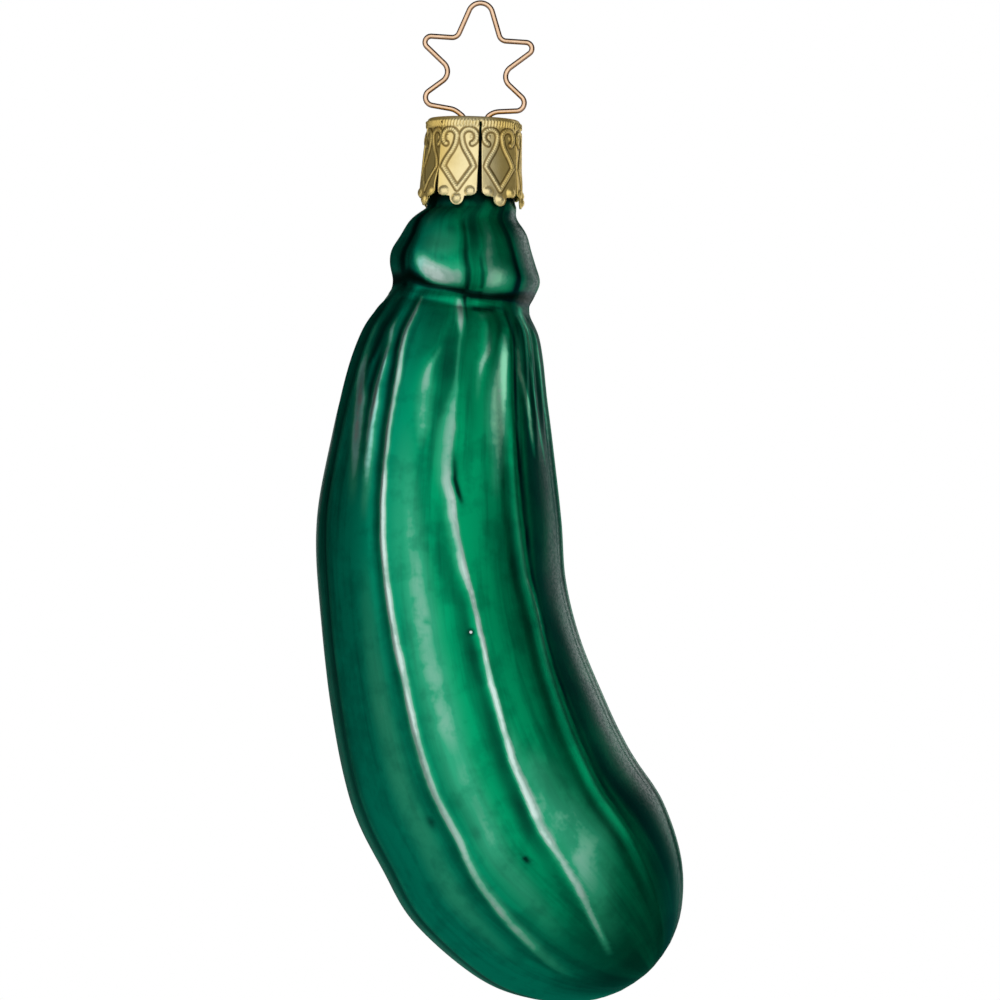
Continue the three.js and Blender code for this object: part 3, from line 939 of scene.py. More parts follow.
def mouldDrop(angles, depth):
    start, full, going, gone = glass["mouldDepths"]
    left, leftFull, right, rightGone, bandSink = glass["mouldBand"]
    middle, half, grooveSink = glass["mouldGroove"]
    seam = float(smoothStep(depth, start, full) * (1 - smoothStep(depth, going, gone)))
    band = smoothStep(angles, left, leftFull) * (1 - smoothStep(angles, right, rightGone))
    return seam * (bandSink * band + grooveSink * bell(angleApart(angles, middle), half))


def glassRelief(angles, depth, radius):
    # how far the surface lies below the crests, for one ring
    pinch = glass["pinch"]
    fruit = float(smoothStep(depth - pinch, *glass["fruitStart"]))
    stem = float(smoothStep(depth, *glass["stemStart"])) * (1 - fruit)
    drop = mouldDrop(angles, depth)
    if stem > 0:
        flats = facetDrop(glass["stemCorners"], glass["stemHollow"], glass["stemSoft"], angles)
        drop += stem * radius * flats
    if fruit > 0:
        drop += fruit * ridgeDrop(angles, depth, radius) - foldRise(angles, depth)
    azimuth, half, middle, tall, rise = glass["stemSwell"]
    drop -= rise * bell(angleApart(angles, azimuth), half) * bell(depth - middle, tall)
    # the undercut and the second groove are deepest at the front and back
    facing = 0.5 + 0.5 * np.cos(np.radians(2 * angles))
    for name, share in (("undercut", facing), ("lip", 1), ("secondGroove", facing)):
        below, half, sink = glass[name]
        drop += sink * share * bell(depth - pinch - below, half)
    return drop


# painted light on the lacquer: painted highlights, painted shade with a few real specks, and how glossy it
# stayed

lacquer = {
    "back": (85, 260),                # azimuths of the side that the photograph doesn't show
    # painted highlight along the other crests: first and last depth, half width, strength and share off the
    # back
    "otherLine": (15, 92, 0.4, 0.6, 0.25),
    # beside each of them: painted shade at one edge and a painted highlight streak, as place across, half
    # width and strength
    "otherShade": (-1.5, 1.1, 0.7),
    "otherStreak": (5, 1.3, 0.35),
    "streakDepths": (30, 84, 16),
    # on the folds at the back, in half widths of the fold: share of the height for the painted highlight and
    # its half width, then place, half width and strength of the painted shade beside it
    "foldLight": (1.6, 1 / 2.4),
    "foldShade": (-1.25, 1 / 1.6, 0.8),
    # painted highlights on the swells of the stem away from the front: azimuth, half width, depth, half
    # height and strength
    "stemLights": (
        (110, 14, 8.8, 1.6, 0.6), (150, 14, 8.9, 1.6, 0.7),
        (195, 15, 8.8, 1.5, 0.6), (240, 15, 8.9, 1.5, 0.6),
    ),
    # specks: azimuth, depth, half width, pale and dark share
    "specks": (
        (-2, 83, 0.45, 0, 0.9), (-29, 75, 0.8, 0, 0.6), (-8, 53, 0.5, 0, 0.4), (-13, 78, 0.7, 0, 0.4),
        (2, 86, 0.5, 0, 0.5),
    ),
    "bubble": (11, 55.3),             # tiny glass bubble: azimuth and depth
    "wander": (0.16, 0.07),           # of a stroke to both sides, slowly and quickly
    "flicker": 0.25,                  # of its strength
    "strokeEdge": 2.4,                # power of its falling off; 2 would be a bell
    # dark right side: strength, and the azimuths over which it comes and goes
    "shade": (0.9, 44, 52, 78, 94),
    # dark underside in two steps: strength, azimuths and depths over which it comes; then where it ends
    "under": ((0.85, -52, -8, 83, 95.5), (0.95, -70, -30, 91, 97)),
    "underEnd": (150, 180),
    "neckShade": (-9, 1.5, 3, 0.6),    # painted shade on the neck under the cap: depths, softness and strength
    "hiddenFrom": (-2.5, 0.5),        # above this the neck under the cap is painted black as shadow
    # coat: strength, then the azimuths or depths over which it comes or goes
    "coatBase": 0.02,
    "coatRight": (0.34, 50, 66),
    "coatRightLoss": (0.35, 46, 62),
    "coatRim": (58, 80, 105, 150),
    "coatRimStem": (0.75, 5, 13),
    "coatRimFruit": (1.1, 36, 66),
    "coatLeft": (0.18, -80, -60),
    "coatBack": (0.3, -150, -110),
    "coatEndLoss": (0.7, 86, 96),
    # colours; where there are two or three they go from the left to the right, as painted light that changes
    # across the glass
    "green": ((0.0, 0.28, 0.175, 1), (0.0, 0.40, 0.165, 1)),
    "deep": ((0.0, 0.036, 0.03, 1), (0.0, 0.036, 0.022, 1), (0.0, 0.030, 0.036, 1)),
    # bright, pale and nearWhite are the colours of the painted highlights
    "bright": (0.05, 0.46, 0.26, 1),
    "pale": ((0.34, 0.80, 0.68, 1), (0.36, 0.60, 0.50, 1), (0.33, 0.86, 0.56, 1)),
    "nearWhite": (0.62, 0.82, 0.75, 1),
    # black of the painted shadow, used where the painted shade is strongest and at the core of the specks
    "shadowBlack": (0.0, 0.006, 0.004, 1),
    # near-white of the bubble: partly silver, partly a painted glint
    "bubbleWhite": (0.8, 0.85, 0.85, 1),
    "silver": (0.75, 0.76, 0.77, 1),
    "edgeTint": (0.3, 0.6, 0.55, 1),
    "roughness": (0.48, 0.54),
    "highlightGloss": -0.1,                # change of the roughness under the painted highlights
    "coatRoughness": 0.25,
    "streakScale": (7, 7, 0.03),      # round the glass, twice, and along it
    "patchScale": (2.2, 2.2, 0.06),
    "mottle": (280.0, 3.0, 0.62),     # scale, detail and roughness of the noise
    "bump": (0.35, 0.02),
    "grain": (3200.0, 9000.0),
}

# Painted highlights and painted shade at the front, laid as strokes down and round the glass. Rows of a
# stroke that runs down hold the depth, azimuth, half width to its left and right in mm, and strength; rows
# of one that runs round hold the azimuth, depth, half height above and below, and strength.
strokes = {
    "highlightDown": (
        # painted highlights: two long pale lines on the crests, and a faint one
        ((12.5, -31, 0.3, 0.2, 0.4), (15, -31, 0.45, 0.3, 0.9), (18, -31, 0.5, 0.35, 1.2),
         (23, -28.5, 0.45, 0.35, 1.2), (30, -28, 0.45, 0.35, 1.3), (36, -27, 0.45, 0.4, 1.5),
         (45, -25, 0.4, 0.45, 1.7), (51, -24, 0.45, 0.5, 1.8), (57, -22.5, 0.45, 0.6, 1.7),
         (61, -21.9, 0.45, 0.5, 1.5), (67, -22, 0.6, 0.5, 1.3), (78, -21.5, 0.45, 0.6, 1.2),
         (84, -24.5, 0.5, 0.8, 0.9), (89, -29, 0.5, 1, 0.45), (94, -34, 0.4, 0.9, 0)),
        ((12.2, 0.5, 0.4, 0.4, 0.6), (13.3, 1.5, 0.6, 0.5, 1), (15, 2.5, 0.5, 0.4, 0.9),
         (17, 4.5, 0.2, 0.2, 0.2), (22, 5.5, 0.25, 0.15, 0.2), (25, 5.5, 0.7, 0.25, 0.5),
         (28.5, 5.7, 1.5, 0.35, 0.7), (33, 4.3, 1.4, 0.35, 0.75), (35.5, 4.6, 1.1, 0.35, 0.9),
         (38, 7.3, 0.9, 0.35, 1.1), (43, 9.5, 0.9, 0.35, 1), (47, 12, 0.8, 0.3, 1.3),
         (50, 13.9, 0.4, 0.35, 1.4), (53, 15, 0.3, 0.35, 1.4), (58, 15.4, 0.3, 0.35, 1.5),
         (64, 14.8, 0.35, 0.4, 1.7), (69, 13.9, 0.35, 0.4, 1.6), (75, 12, 0.3, 0.8, 1.4),
         (80, 10.4, 0.3, 1.1, 1.4), (85, 8.5, 0.35, 0.7, 1.2), (89, 3.5, 0.4, 0.9, 0.9),
         (92, -1, 0.45, 0.5, 0.6), (95, -8, 0.45, 0.45, 0)),
        ((30, 38, 0.3, 0.15, 0), (40, 40, 0.35, 0.15, 0.2), (48, 43, 0.4, 0.25, 0.5),
         (54, 46.5, 0.45, 0.25, 0.6), (66, 44.5, 0.4, 0.15, 0.3), (80, 42, 0.35, 0.15, 0.2),
         (90, 38.5, 0.3, 0.15, 0)),
        # painted highlights on the folds left of the first crest
        ((15, -62, 0.3, 0.3, 0), (18, -60, 0.3, 0.3, 0.35), (23, -61, 0.3, 0.3, 0.3),
         (26, -63, 0.2, 0.2, 0)),
        ((15.5, -45, 0.3, 0.25, 0), (17.5, -43.5, 0.5, 0.35, 0.9), (19, -41.5, 0.45, 0.35, 0.7),
         (21.5, -40, 0.5, 0.3, 1), (24.5, -40.2, 0.6, 0.45, 1.2), (27.5, -40, 0.75, 0.6, 1.2),
         (31, -38.5, 0.8, 0.6, 0.95), (35, -37.5, 0.7, 0.6, 0.55), (41, -36.5, 0.6, 0.5, 0)),
        ((19.5, -59, 0.4, 0.4, 0), (22.5, -58.5, 0.9, 0.7, 0.9), (26, -53.5, 1, 1, 1.45),
         (29.5, -50, 1, 0.9, 1.3), (33.5, -47, 1, 0.8, 0.6), (39, -45, 0.8, 0.7, 0)),
        ((12.8, -56, 0.4, 0.4, 0.3), (14, -57, 0.2, 0.2, 0)),
        # painted highlight patches and the long painted highlight streak between the two lines
        ((18.5, -7, 0.15, 0.3, 0), (20.2, -9.5, 0.3, 0.3, 0.3), (21.3, -11, 0.5, 0.45, 0.55),
         (23.5, -12, 0.75, 0.8, 0.6), (25.5, -11.5, 0.9, 0.9, 0.55), (28.5, -10.5, 0.8, 0.85, 0.45),
         (30.5, -10.5, 0.6, 0.6, 0.15), (32, -11, 0.5, 0.5, 0)),
        ((31, -17, 0.8, 0.8, 0), (34, -15.5, 1, 1, 0.2), (38, -13.5, 1.2, 1.2, 0.35),
         (45, -10.5, 1.6, 1.5, 0.45), (52, -9.5, 1.9, 1.8, 0.5), (59, -9, 2, 2, 0.48),
         (65, -8.5, 2, 2, 0.45), (71, -8, 2.1, 1.8, 0.42), (76, -8, 1.9, 1.6, 0.38),
         (81, -10, 1.8, 1.6, 0.35), (85, -11.5, 1.6, 1.4, 0.25), (91, -17, 1.2, 1.2, 0)),
        ((28, -18, 1.2, 1.2, 0), (36, -17, 1.6, 1.6, 0.2), (46, -16, 1.6, 1.6, 0.2),
         (54, -15, 1.4, 1.4, 0)),
        # painted highlights right of the second line
        ((14.5, 22, 0.4, 0.4, 0), (16.6, 23, 0.5, 0.6, 0.45), (18.2, 23, 0.5, 0.6, 0.75),
         (20, 19.5, 0.5, 0.4, 0.7), (22.3, 18.5, 0.4, 0.3, 0.25), (25, 18, 0.3, 0.3, 0)),
        ((15.5, 35.5, 0.4, 0.3, 0.4), (18, 35.4, 0.8, 0.4, 0.9), (20.5, 34.6, 1.2, 0.4, 1.2),
         (24, 32.8, 1.5, 0.7, 1.1), (27, 31.2, 1.5, 0.9, 1), (30, 30, 1.3, 0.9, 0.8),
         (33, 30, 0.8, 0.8, 0.4), (38, 28, 0.5, 0.6, 0)),
        ((71, 20, 0.8, 1.5, 0), (76, 18.5, 1.6, 2.8, 0.4), (82, 17.5, 1.8, 3.8, 0.56),
         (86, 15, 1.8, 4.4, 0.62), (89, 10, 1.6, 3.8, 0.42), (92, 4, 1.3, 2.6, 0.12), (95, -2, 1, 2, 0)),
        ((66, 14.6, 0.3, 0.8, 0), (71, 13.2, 0.3, 1.4, 0.4), (76, 11.6, 0.3, 2, 0.48),
         (82, 9.6, 0.3, 2.2, 0.55), (87, 6, 0.3, 2.2, 0.5), (91, 0, 0.4, 1.6, 0.3), (94, -5, 0.4, 1, 0)),
        # mottled painted highlight streak left of the first line, low on the fruit
        ((44, -36, 0.8, 0.7, 0), (54, -36, 1.5, 1.2, 0.26), (62, -36, 1.8, 1.3, 0.34),
         (70, -35, 2, 1.4, 0.3), (77, -35.5, 2.2, 1.5, 0.24), (83, -37, 2, 1.4, 0.24),
         (87, -40, 1.6, 1.2, 0.1), (90, -43, 1, 1, 0)),
        # painted highlights on the folds at the right of the shoulder
        ((15, 47, 0.3, 0.25, 0), (17.5, 46.3, 0.5, 0.4, 0.75), (20, 46.5, 0.5, 0.45, 0.95),
         (22, 49.5, 0.5, 0.45, 0.95), (24.5, 53.3, 0.6, 0.5, 1.25), (28, 55, 0.5, 0.4, 0.85),
         (32, 56, 0.3, 0.3, 0)),
        ((12, 63, 0.7, 0.6, 0.3), (13.5, 60.5, 0.7, 0.7, 1), (15, 58, 0.45, 0.45, 0.8),
         (18, 58, 0.35, 0.3, 0.5), (22, 60, 0.3, 0.25, 0.4), (28.5, 65, 0.3, 0.25, 0.4),
         (33, 68, 0.3, 0.3, 0)),
        ((13.5, 68, 0.6, 0.5, 0), (17, 71, 0.8, 0.7, 0.55), (21, 73.5, 0.8, 0.7, 0.55),
         (25, 75.5, 0.7, 0.6, 0.4), (30, 77, 0.5, 0.5, 0)),
        ((14.5, 46, 0.2, 0.2, 0), (16, 46, 0.26, 0.22, 0.6), (20, 45, 0.24, 0.2, 0.5),
         (28, 44, 0.2, 0.2, 0.3), (33, 43, 0.2, 0.2, 0)),
        # narrow painted highlight streak on the right flat of the stem
        ((1.5, 25, 0.4, 0.4, 0), (4, 24, 0.6, 0.7, 0.45), (6, 21.5, 0.7, 0.9, 0.6),
         (8.5, 21.5, 0.7, 1.2, 0.5), (10.5, 22, 0.7, 1, 0)),
    ),
    "highlightRound": (
        # painted highlight: bright swoosh on the left flat of the stem, and its haze
        ((-43, 7.8, 0.6, 0.5, 0), (-38, 8.4, 1.4, 0.9, 0.7), (-33, 9, 1.7, 0.9, 1.35),
         (-26, 9.5, 1.7, 0.8, 1.6), (-18, 9.8, 1.6, 0.7, 1.4), (-10, 10, 1.6, 0.6, 0.95),
         (-3, 9.9, 1.7, 0.6, 0.75), (0, 9.8, 1.5, 0.6, 0.4), (1.5, 9.7, 1.2, 0.5, 0)),
        ((-40, 5.5, 1.5, 1, 0), (-26, 5.6, 2, 1.4, 0.3), (-12, 5.5, 1.8, 1.4, 0.25), (-2, 5.4, 1.5, 1, 0)),
        ((-44, 1, 0.6, 0.8, 0), (-38, 1.2, 1, 1.5, 0.25), (-30, 1.2, 1, 1.5, 0)),
        # painted highlight patch on the right flat
        ((16.5, 9.2, 1.4, 1.3, 0), (19, 9, 2, 1.5, 0.7), (24, 9, 2, 1.5, 0.85), (30, 8.8, 1.9, 1.5, 0.75),
         (36, 8.7, 1.6, 1.3, 0.5), (42, 8.6, 1.2, 1.2, 0)),
        ((15, 13.9, 0.2, 0.2, 0), (18, 14, 0.3, 0.3, 0.35), (25, 13.5, 0.3, 0.3, 0.2),
         (28, 13.4, 0.2, 0.2, 0)),
    ),
    # painted shade, laid in strokes down the glass
    "shadeDown": (
        # hooked notch at the second line
        ((31.5, 6.4, 0.25, 0.3, 0), (33, 6.7, 0.3, 0.4, 0.9), (35, 7.2, 0.3, 0.45, 1.15),
         (36.8, 9, 0.3, 0.45, 1.15), (37.9, 10.8, 0.3, 0.4, 0.8), (38.8, 12, 0.3, 0.3, 0)),
        # painted shade: dark band down the left side
        ((28, -66, 0.8, 0.8, 0), (36, -67, 1.3, 1.3, 0.9), (47, -65, 1.4, 1.4, 0.9),
         (55, -66, 1.3, 1.3, 0.8), (64, -64, 1.3, 1.3, 0.8), (72, -64, 1.2, 1.2, 0.6), (80, -62, 1, 1, 0)),
        # painted shade beside the crests
        ((12.5, -36, 0.6, 0.5, 0.4), (18, -35.5, 0.7, 0.5, 0.95), (24, -33.5, 0.7, 0.6, 0.95),
         (30, -32, 0.7, 0.6, 0.8), (36, -31, 0.7, 0.6, 0.45), (50, -28.5, 0.7, 0.5, 0.4),
         (61, -26.5, 0.9, 0.6, 0.55), (72, -25, 0.9, 0.6, 0.4), (84, -28, 1, 0.8, 0.45),
         (92, -37, 1, 0.8, 0)),
        ((38, 0, 0.8, 0.8, 0), (42, 1.5, 1.5, 1, 0.45), (48, 5.5, 1.6, 1.1, 0.45),
         (51.5, 9.3, 1.4, 0.7, 0.7), (55, 10, 1.6, 0.6, 0.7), (58, 10.5, 1.6, 0.7, 0.85),
         (63, 11, 1.5, 0.6, 0.6), (70, 9.8, 1.6, 0.8, 0.8), (76, 8.4, 1.6, 0.7, 0.8),
         (80, 7, 1.5, 0.7, 0.85), (84, 5, 1.5, 0.8, 0.7), (90, -2, 1.4, 0.7, 0.5), (97, -16, 1, 0.8, 0)),
        ((29, 33.5, 0.5, 0.5, 0), (34, 34.5, 0.8, 0.8, 0.4), (39, 35.5, 1.1, 1.1, 0.6),
         (47, 37, 1.2, 1.2, 0.8), (55, 39, 1.2, 1.1, 0.75), (61, 39, 1.2, 1, 0.65),
         (68, 37, 1.2, 1.2, 0.6), (75, 33, 1.2, 1.4, 0.5), (82, 34, 1.2, 1.3, 0.45),
         (88, 33, 1.3, 1.3, 0.5), (94, 27, 1.2, 1.3, 0)),
        ((30, 24, 0.6, 0.6, 0), (36, 25, 1, 1, 0.25), (44, 27, 1.1, 1.1, 0.3), (50, 28, 0.8, 0.8, 0)),
        ((13, 41, 0.5, 1, 0.9), (16, 42, 0.35, 1, 1.3), (28, 41, 0.35, 1, 1.2), (36, 43, 0.3, 1.1, 1.1),
         (46, 46, 0.25, 1.2, 1), (54, 49, 0.2, 1.2, 1), (62, 48.5, 0.2, 1.3, 1), (72, 46.5, 0.2, 1.3, 0.9),
         (84, 44, 0.2, 1.3, 0.8), (95, 38, 0.3, 1.2, 0)),
        # painted shade between the folds
        ((19, -46, 0.5, 0.4, 0), (21.5, -46, 0.7, 0.5, 0.9), (25, -46, 0.7, 0.5, 0.9),
         (29, -44, 0.7, 0.4, 0.5), (33, -42, 0.6, 0.4, 0)),
        ((13, -51, 0.5, 0.5, 0.5), (17, -52, 0.9, 0.7, 0.9), (21, -51, 0.8, 0.6, 0.9),
         (24, -63, 0.9, 0.7, 0.7), (34, -62, 1.2, 1, 0)),
        ((14, 48.5, 0.5, 0.3, 0.8), (18, 47.5, 0.4, 0.3, 0.9), (24, 51, 0.6, 0.4, 0.8),
         (32, 53, 1, 0.8, 0.7), (50, 58, 1.6, 1.2, 0.6), (70, 57, 2, 1.6, 0.6), (88, 55, 2, 1.6, 0.5),
         (96, 52, 1.5, 1.5, 0)),
        ((13.5, 62, 0.4, 0.3, 0.3), (17, 61, 0.5, 0.4, 1), (22, 62.5, 0.5, 0.5, 1),
         (27, 68, 0.4, 0.5, 0.8), (33, 72, 0.4, 0.5, 0)),
        # painted shade high on the fruit
        ((12.9, -14, 2.4, 2.4, 0.2), (14.5, -14, 2.5, 2.5, 0.7), (18, -15, 2.4, 2.4, 0.6),
         (20.5, -20, 1.2, 1, 0.35), (24, -22, 1, 0.8, 0.15), (28, -22, 1, 0.8, 0)),
        ((12.5, -1, 1.5, 1, 0), (15, 0, 2, 1.3, 0.5), (18, 0.5, 2.6, 2.2, 0.8), (22, 1.5, 2.2, 1.8, 0.8),
         (26, -0.5, 1.2, 1.2, 0.6), (30, -3, 0.7, 0.7, 0.3), (35, -5, 0.5, 0.5, 0)),
        ((76, -8, 1.5, 1.5, 0), (82, -8, 2, 1.8, 0.35), (87, -11, 2.2, 1.8, 0.45), (92, -20, 1.6, 1.5, 0)),
        ((12.5, 10, 1.2, 1.4, 0.5), (17, 11, 1.2, 1.4, 0.6), (22, 12, 0.9, 1, 0.5), (27, 14, 0.8, 1, 0.3),
         (33, 15, 0.6, 0.6, 0)),
        ((13, 33, 0.8, 0.8, 0.4), (14.6, 35, 1, 0.7, 0.85), (16.5, 30, 0.4, 0.3, 0.5),
         (21, 27, 0.6, 0.6, 0.3), (25, 25, 0.6, 0.6, 0)),
        # painted shade along the mould line, its groove and the edges of the flats of the stem
        ((-1, 9, 1.2, 1.4, 0.8), (3, 9, 1.1, 1.3, 0.85), (6, 8, 1, 1.1, 0.6), (9, 8, 1, 1, 0.45),
         (12, 8.5, 1, 1, 0.6), (14, 9, 1, 1, 0.3), (18, 9, 0.8, 0.8, 0)),
        ((2, 2.5, 0.5, 0.5, 0), (6, 2.5, 0.55, 0.55, 0.8), (11, 4, 0.5, 0.5, 1.2), (13.5, 6, 0.4, 0.4, 1),
         (16, 8, 0.3, 0.3, 0.4), (18, 9, 0.3, 0.3, 0)),
        ((4, 14.5, 0.35, 0.35, 0), (7, 14.5, 0.45, 0.35, 0.8), (10.5, 15, 0.45, 0.35, 0.8),
         (11, 15, 0.3, 0.25, 0)),
        ((1.8, -11, 0.5, 0.5, 0), (3.2, -11, 0.8, 0.8, 0.55), (4.6, -10, 0.6, 0.5, 0)),
        ((-1, 46, 0.8, 0.8, 1), (5, 44, 0.7, 0.6, 1), (8, 46, 0.8, 0.7, 1.1), (11, 47, 1, 1.2, 1.3),
         (12.5, 47, 1, 1, 0)),
        ((-1, -54, 1.2, 0.6, 1.1), (4, -55, 1.5, 0.7, 1.2), (8, -60, 1.8, 1, 1.2), (11, -62, 2, 1.2, 1.2),
         (12.5, -62, 2, 1, 0)),
    ),
    # painted shadow, laid in strokes round the glass
    "shadeRound": (
        # painted shadow in the undercut of the stem and in the thin groove below its lip
        ((-180, 11.2, 0.6, 0.5, 1.4), (-75, 10.4, 1, 0.8, 1.4), (-50, 9.9, 1.1, 1, 1.6),
         (-29, 10.75, 0.6, 0.6, 1.6), (-13, 10.95, 0.5, 0.5, 1.6), (2, 11.2, 0.5, 0.5, 1.6),
         (10, 11.5, 0.6, 0.5, 1.6), (38, 11.2, 0.7, 0.6, 1.6), (50, 11, 1.3, 0.9, 1.6),
         (75, 11, 1.3, 1, 1.6), (180, 11.2, 0.6, 0.5, 1.4)),
        ((-38, 13, 0.3, 0.3, 0), (-28, 13, 0.3, 0.3, 0.5), (-4, 13, 0.3, 0.3, 0.3),
         (5, 13.1, 0.3, 0.3, 0.3), (13, 13.1, 0.45, 0.45, 1.1), (28, 12.85, 0.5, 0.45, 1.1),
         (38, 12.6, 0.5, 0.4, 0.9), (45, 12.6, 0.3, 0.3, 0)),
    ),
}


def softEdge(away):
    return np.exp(-np.abs(away) ** lacquer["strokeEdge"])


def downStroke(rows, angles, depth, size):
    keys = [row[0] for row in rows]
    if not keys[0] <= depth <= keys[-1]:
        return 0
    place, left, right, strength = [np.interp(depth, keys, [row[k] for row in rows]) for k in (1, 2, 3, 4)]
    # the stroke wanders a little to both sides and its strength comes and goes
    slow, quick = lacquer["wander"]
    wander = slow * noise.noise(Vector((place / 20, depth / 3.2, 7)))
    wander += quick * noise.noise(Vector((3, depth, 1)))
    strength *= 1 + lacquer["flicker"] * noise.noise(Vector((place / 9, depth / 4.5, 4)))
    apart = angleApart(angles, place) * size + wander
    return strength * softEdge(apart / np.where(apart < 0, left, right))


def roundStroke(rows, angles, depth):
    keys = [row[0] for row in rows]
    place, above, below, strength = [np.interp(angles, keys, [row[k] for row in rows]) for k in (1, 2, 3, 4)]
    inside = (angles >= keys[0]) & (angles <= keys[-1])
    apart = depth - place
    return inside * strength * softEdge(apart / np.where(apart < 0, above, below))


def sidePaint(angles, depth, size):
    # painted highlights and painted shade on the crests and folds away from the front
    paintedHighlight, shadeAndSpecks = np.zeros(len(angles)), np.zeros(len(angles))
    fruit = between(depth, glass["pinch"] + 1.5, 96, 4.0)
    backFrom, backTo = lacquer["back"]
    first, last, half, strength, sideShare = lacquer["otherLine"]
    shadePlace, shadeHalf, shadeStrength = lacquer["otherShade"]
    streakPlace, streakHalf, streakStrength = lacquer["otherStreak"]
    line = strength * between(depth, first, last, 12)
    streak = streakStrength * between(depth, *lacquer["streakDepths"])
    for crest in crestsAt(depth)[len(glass["frontCrests"]):]:
        apart = angleApart(angles, crest) * size
        behind = backFrom < crest < backTo
        paintedHighlight = np.maximum(paintedHighlight, line * (1 if behind else sideShare) * bell(apart, half))
        paintedHighlight = np.maximum(paintedHighlight, behind * streak * bell(apart - streakPlace, streakHalf))
        shadeAndSpecks = np.maximum(shadeAndSpecks, shadeStrength * fruit * bell(apart - shadePlace, shadeHalf))
    away = (angles > backFrom) | (angles < -90)
    lightShare, lightHalf = lacquer["foldLight"]
    darkPlace, darkHalf, darkStrength = lacquer["foldShade"]
    for azimuth, first, last, height, half in glass["folds"]:
        if azimuth > backFrom:
            fade = between(depth, first + 2, last - 4, 6)
            apart = angleApart(angles, azimuth) / half
            paintedHighlight = np.maximum(paintedHighlight, away * fade * lightShare * height * bell(apart, lightHalf))
            shadeAndSpecks = np.maximum(shadeAndSpecks, darkStrength * fade * bell(apart - darkPlace, darkHalf))
    for azimuth, half, middle, tall, strength in lacquer["stemLights"]:
        spot = (angleApart(angles, azimuth) / half) ** 4 + ((depth - middle) / tall) ** 2
        paintedHighlight = np.maximum(paintedHighlight, strength * np.exp(-spot))
    return paintedHighlight, shadeAndSpecks


def shadeOf(angles, depth):
    # the right side and the underside, which stay dark
    strength, start, full, going, gone = lacquer["shade"]
    shade = smoothStep(angles, start, full) * (1 - smoothStep(angles, going, gone))
    shade = strength * float(smoothStep(depth, -1, 1)) * shade
    for strength, left, right, above, below in lacquer["under"]:
        under = strength * smoothStep(angles, left, right) * float(smoothStep(depth, above, below))
        shade = np.maximum(shade, under * (1 - smoothStep(angles, *lacquer["underEnd"])))
    return shade


def glossOf(angles, depth):
    start, full, going, gone = lacquer["coatRim"]
    rim = smoothStep(angles, start, full) * (1 - smoothStep(angles, going, gone))
    right = grow(angles, lacquer["coatRight"]) * (1 - grow(depth, lacquer["coatRightLoss"]))
    rim = rim * (fall(depth, lacquer["coatRimStem"]) + grow(depth, lacquer["coatRimFruit"]))
    gloss = lacquer["coatBase"] + right + rim
    gloss = np.maximum(gloss, fall(angles, lacquer["coatLeft"]))
    gloss = np.maximum(gloss, fall(angles, lacquer["coatBack"]))
    return gloss * (1 - grow(depth, lacquer["coatEndLoss"]))


def lacquerOf(angles, depth, radius):
    size = math.radians(1) * max(radius, 1)
    paintedHighlight, shadeAndSpecks = sidePaint(angles, depth, size)
    for rows in strokes["shadeDown"]:
        shadeAndSpecks = np.maximum(shadeAndSpecks, downStroke(rows, angles, depth, size))
    for rows in strokes["shadeRound"]:
        shadeAndSpecks = np.maximum(shadeAndSpecks, roundStroke(rows, angles, depth))
    for rows in strokes["highlightDown"]:
        paintedHighlight = np.maximum(paintedHighlight, downStroke(rows, angles, depth, size))
    for rows in strokes["highlightRound"]:
        paintedHighlight = np.maximum(paintedHighlight, roundStroke(rows, angles, depth))
    # the painted shade of the right side and the underside joins the rest
    shadeAndSpecks = np.maximum(shadeAndSpecks, shadeOf(angles, depth))
    for azimuth, middle, half, light, dark in lacquer["specks"]:
        away = np.hypot(angleApart(angles, azimuth) * size, depth - middle)
        paintedHighlight = np.maximum(paintedHighlight * (1 - dark * bell(away, half)), light * bell(away, half / 2))
        shadeAndSpecks = np.maximum(shadeAndSpecks, 1.5 * dark * bell(away, half))
    shadeAndSpecks = shadeAndSpecks * (1 - np.clip(paintedHighlight, 0, 1))
    # painted shade on the neck, and black painted shadow above where the cap hides it
    first, last, soft, strength = lacquer["neckShade"]
    shadeAndSpecks = np.maximum(shadeAndSpecks, strength * between(depth, first, last, soft))
    hidden = 1 - float(smoothStep(depth, *lacquer["hiddenFrom"]))
    return paintedHighlight, shadeAndSpecks + hidden, glossOf(angles, depth) * (1 - hidden)


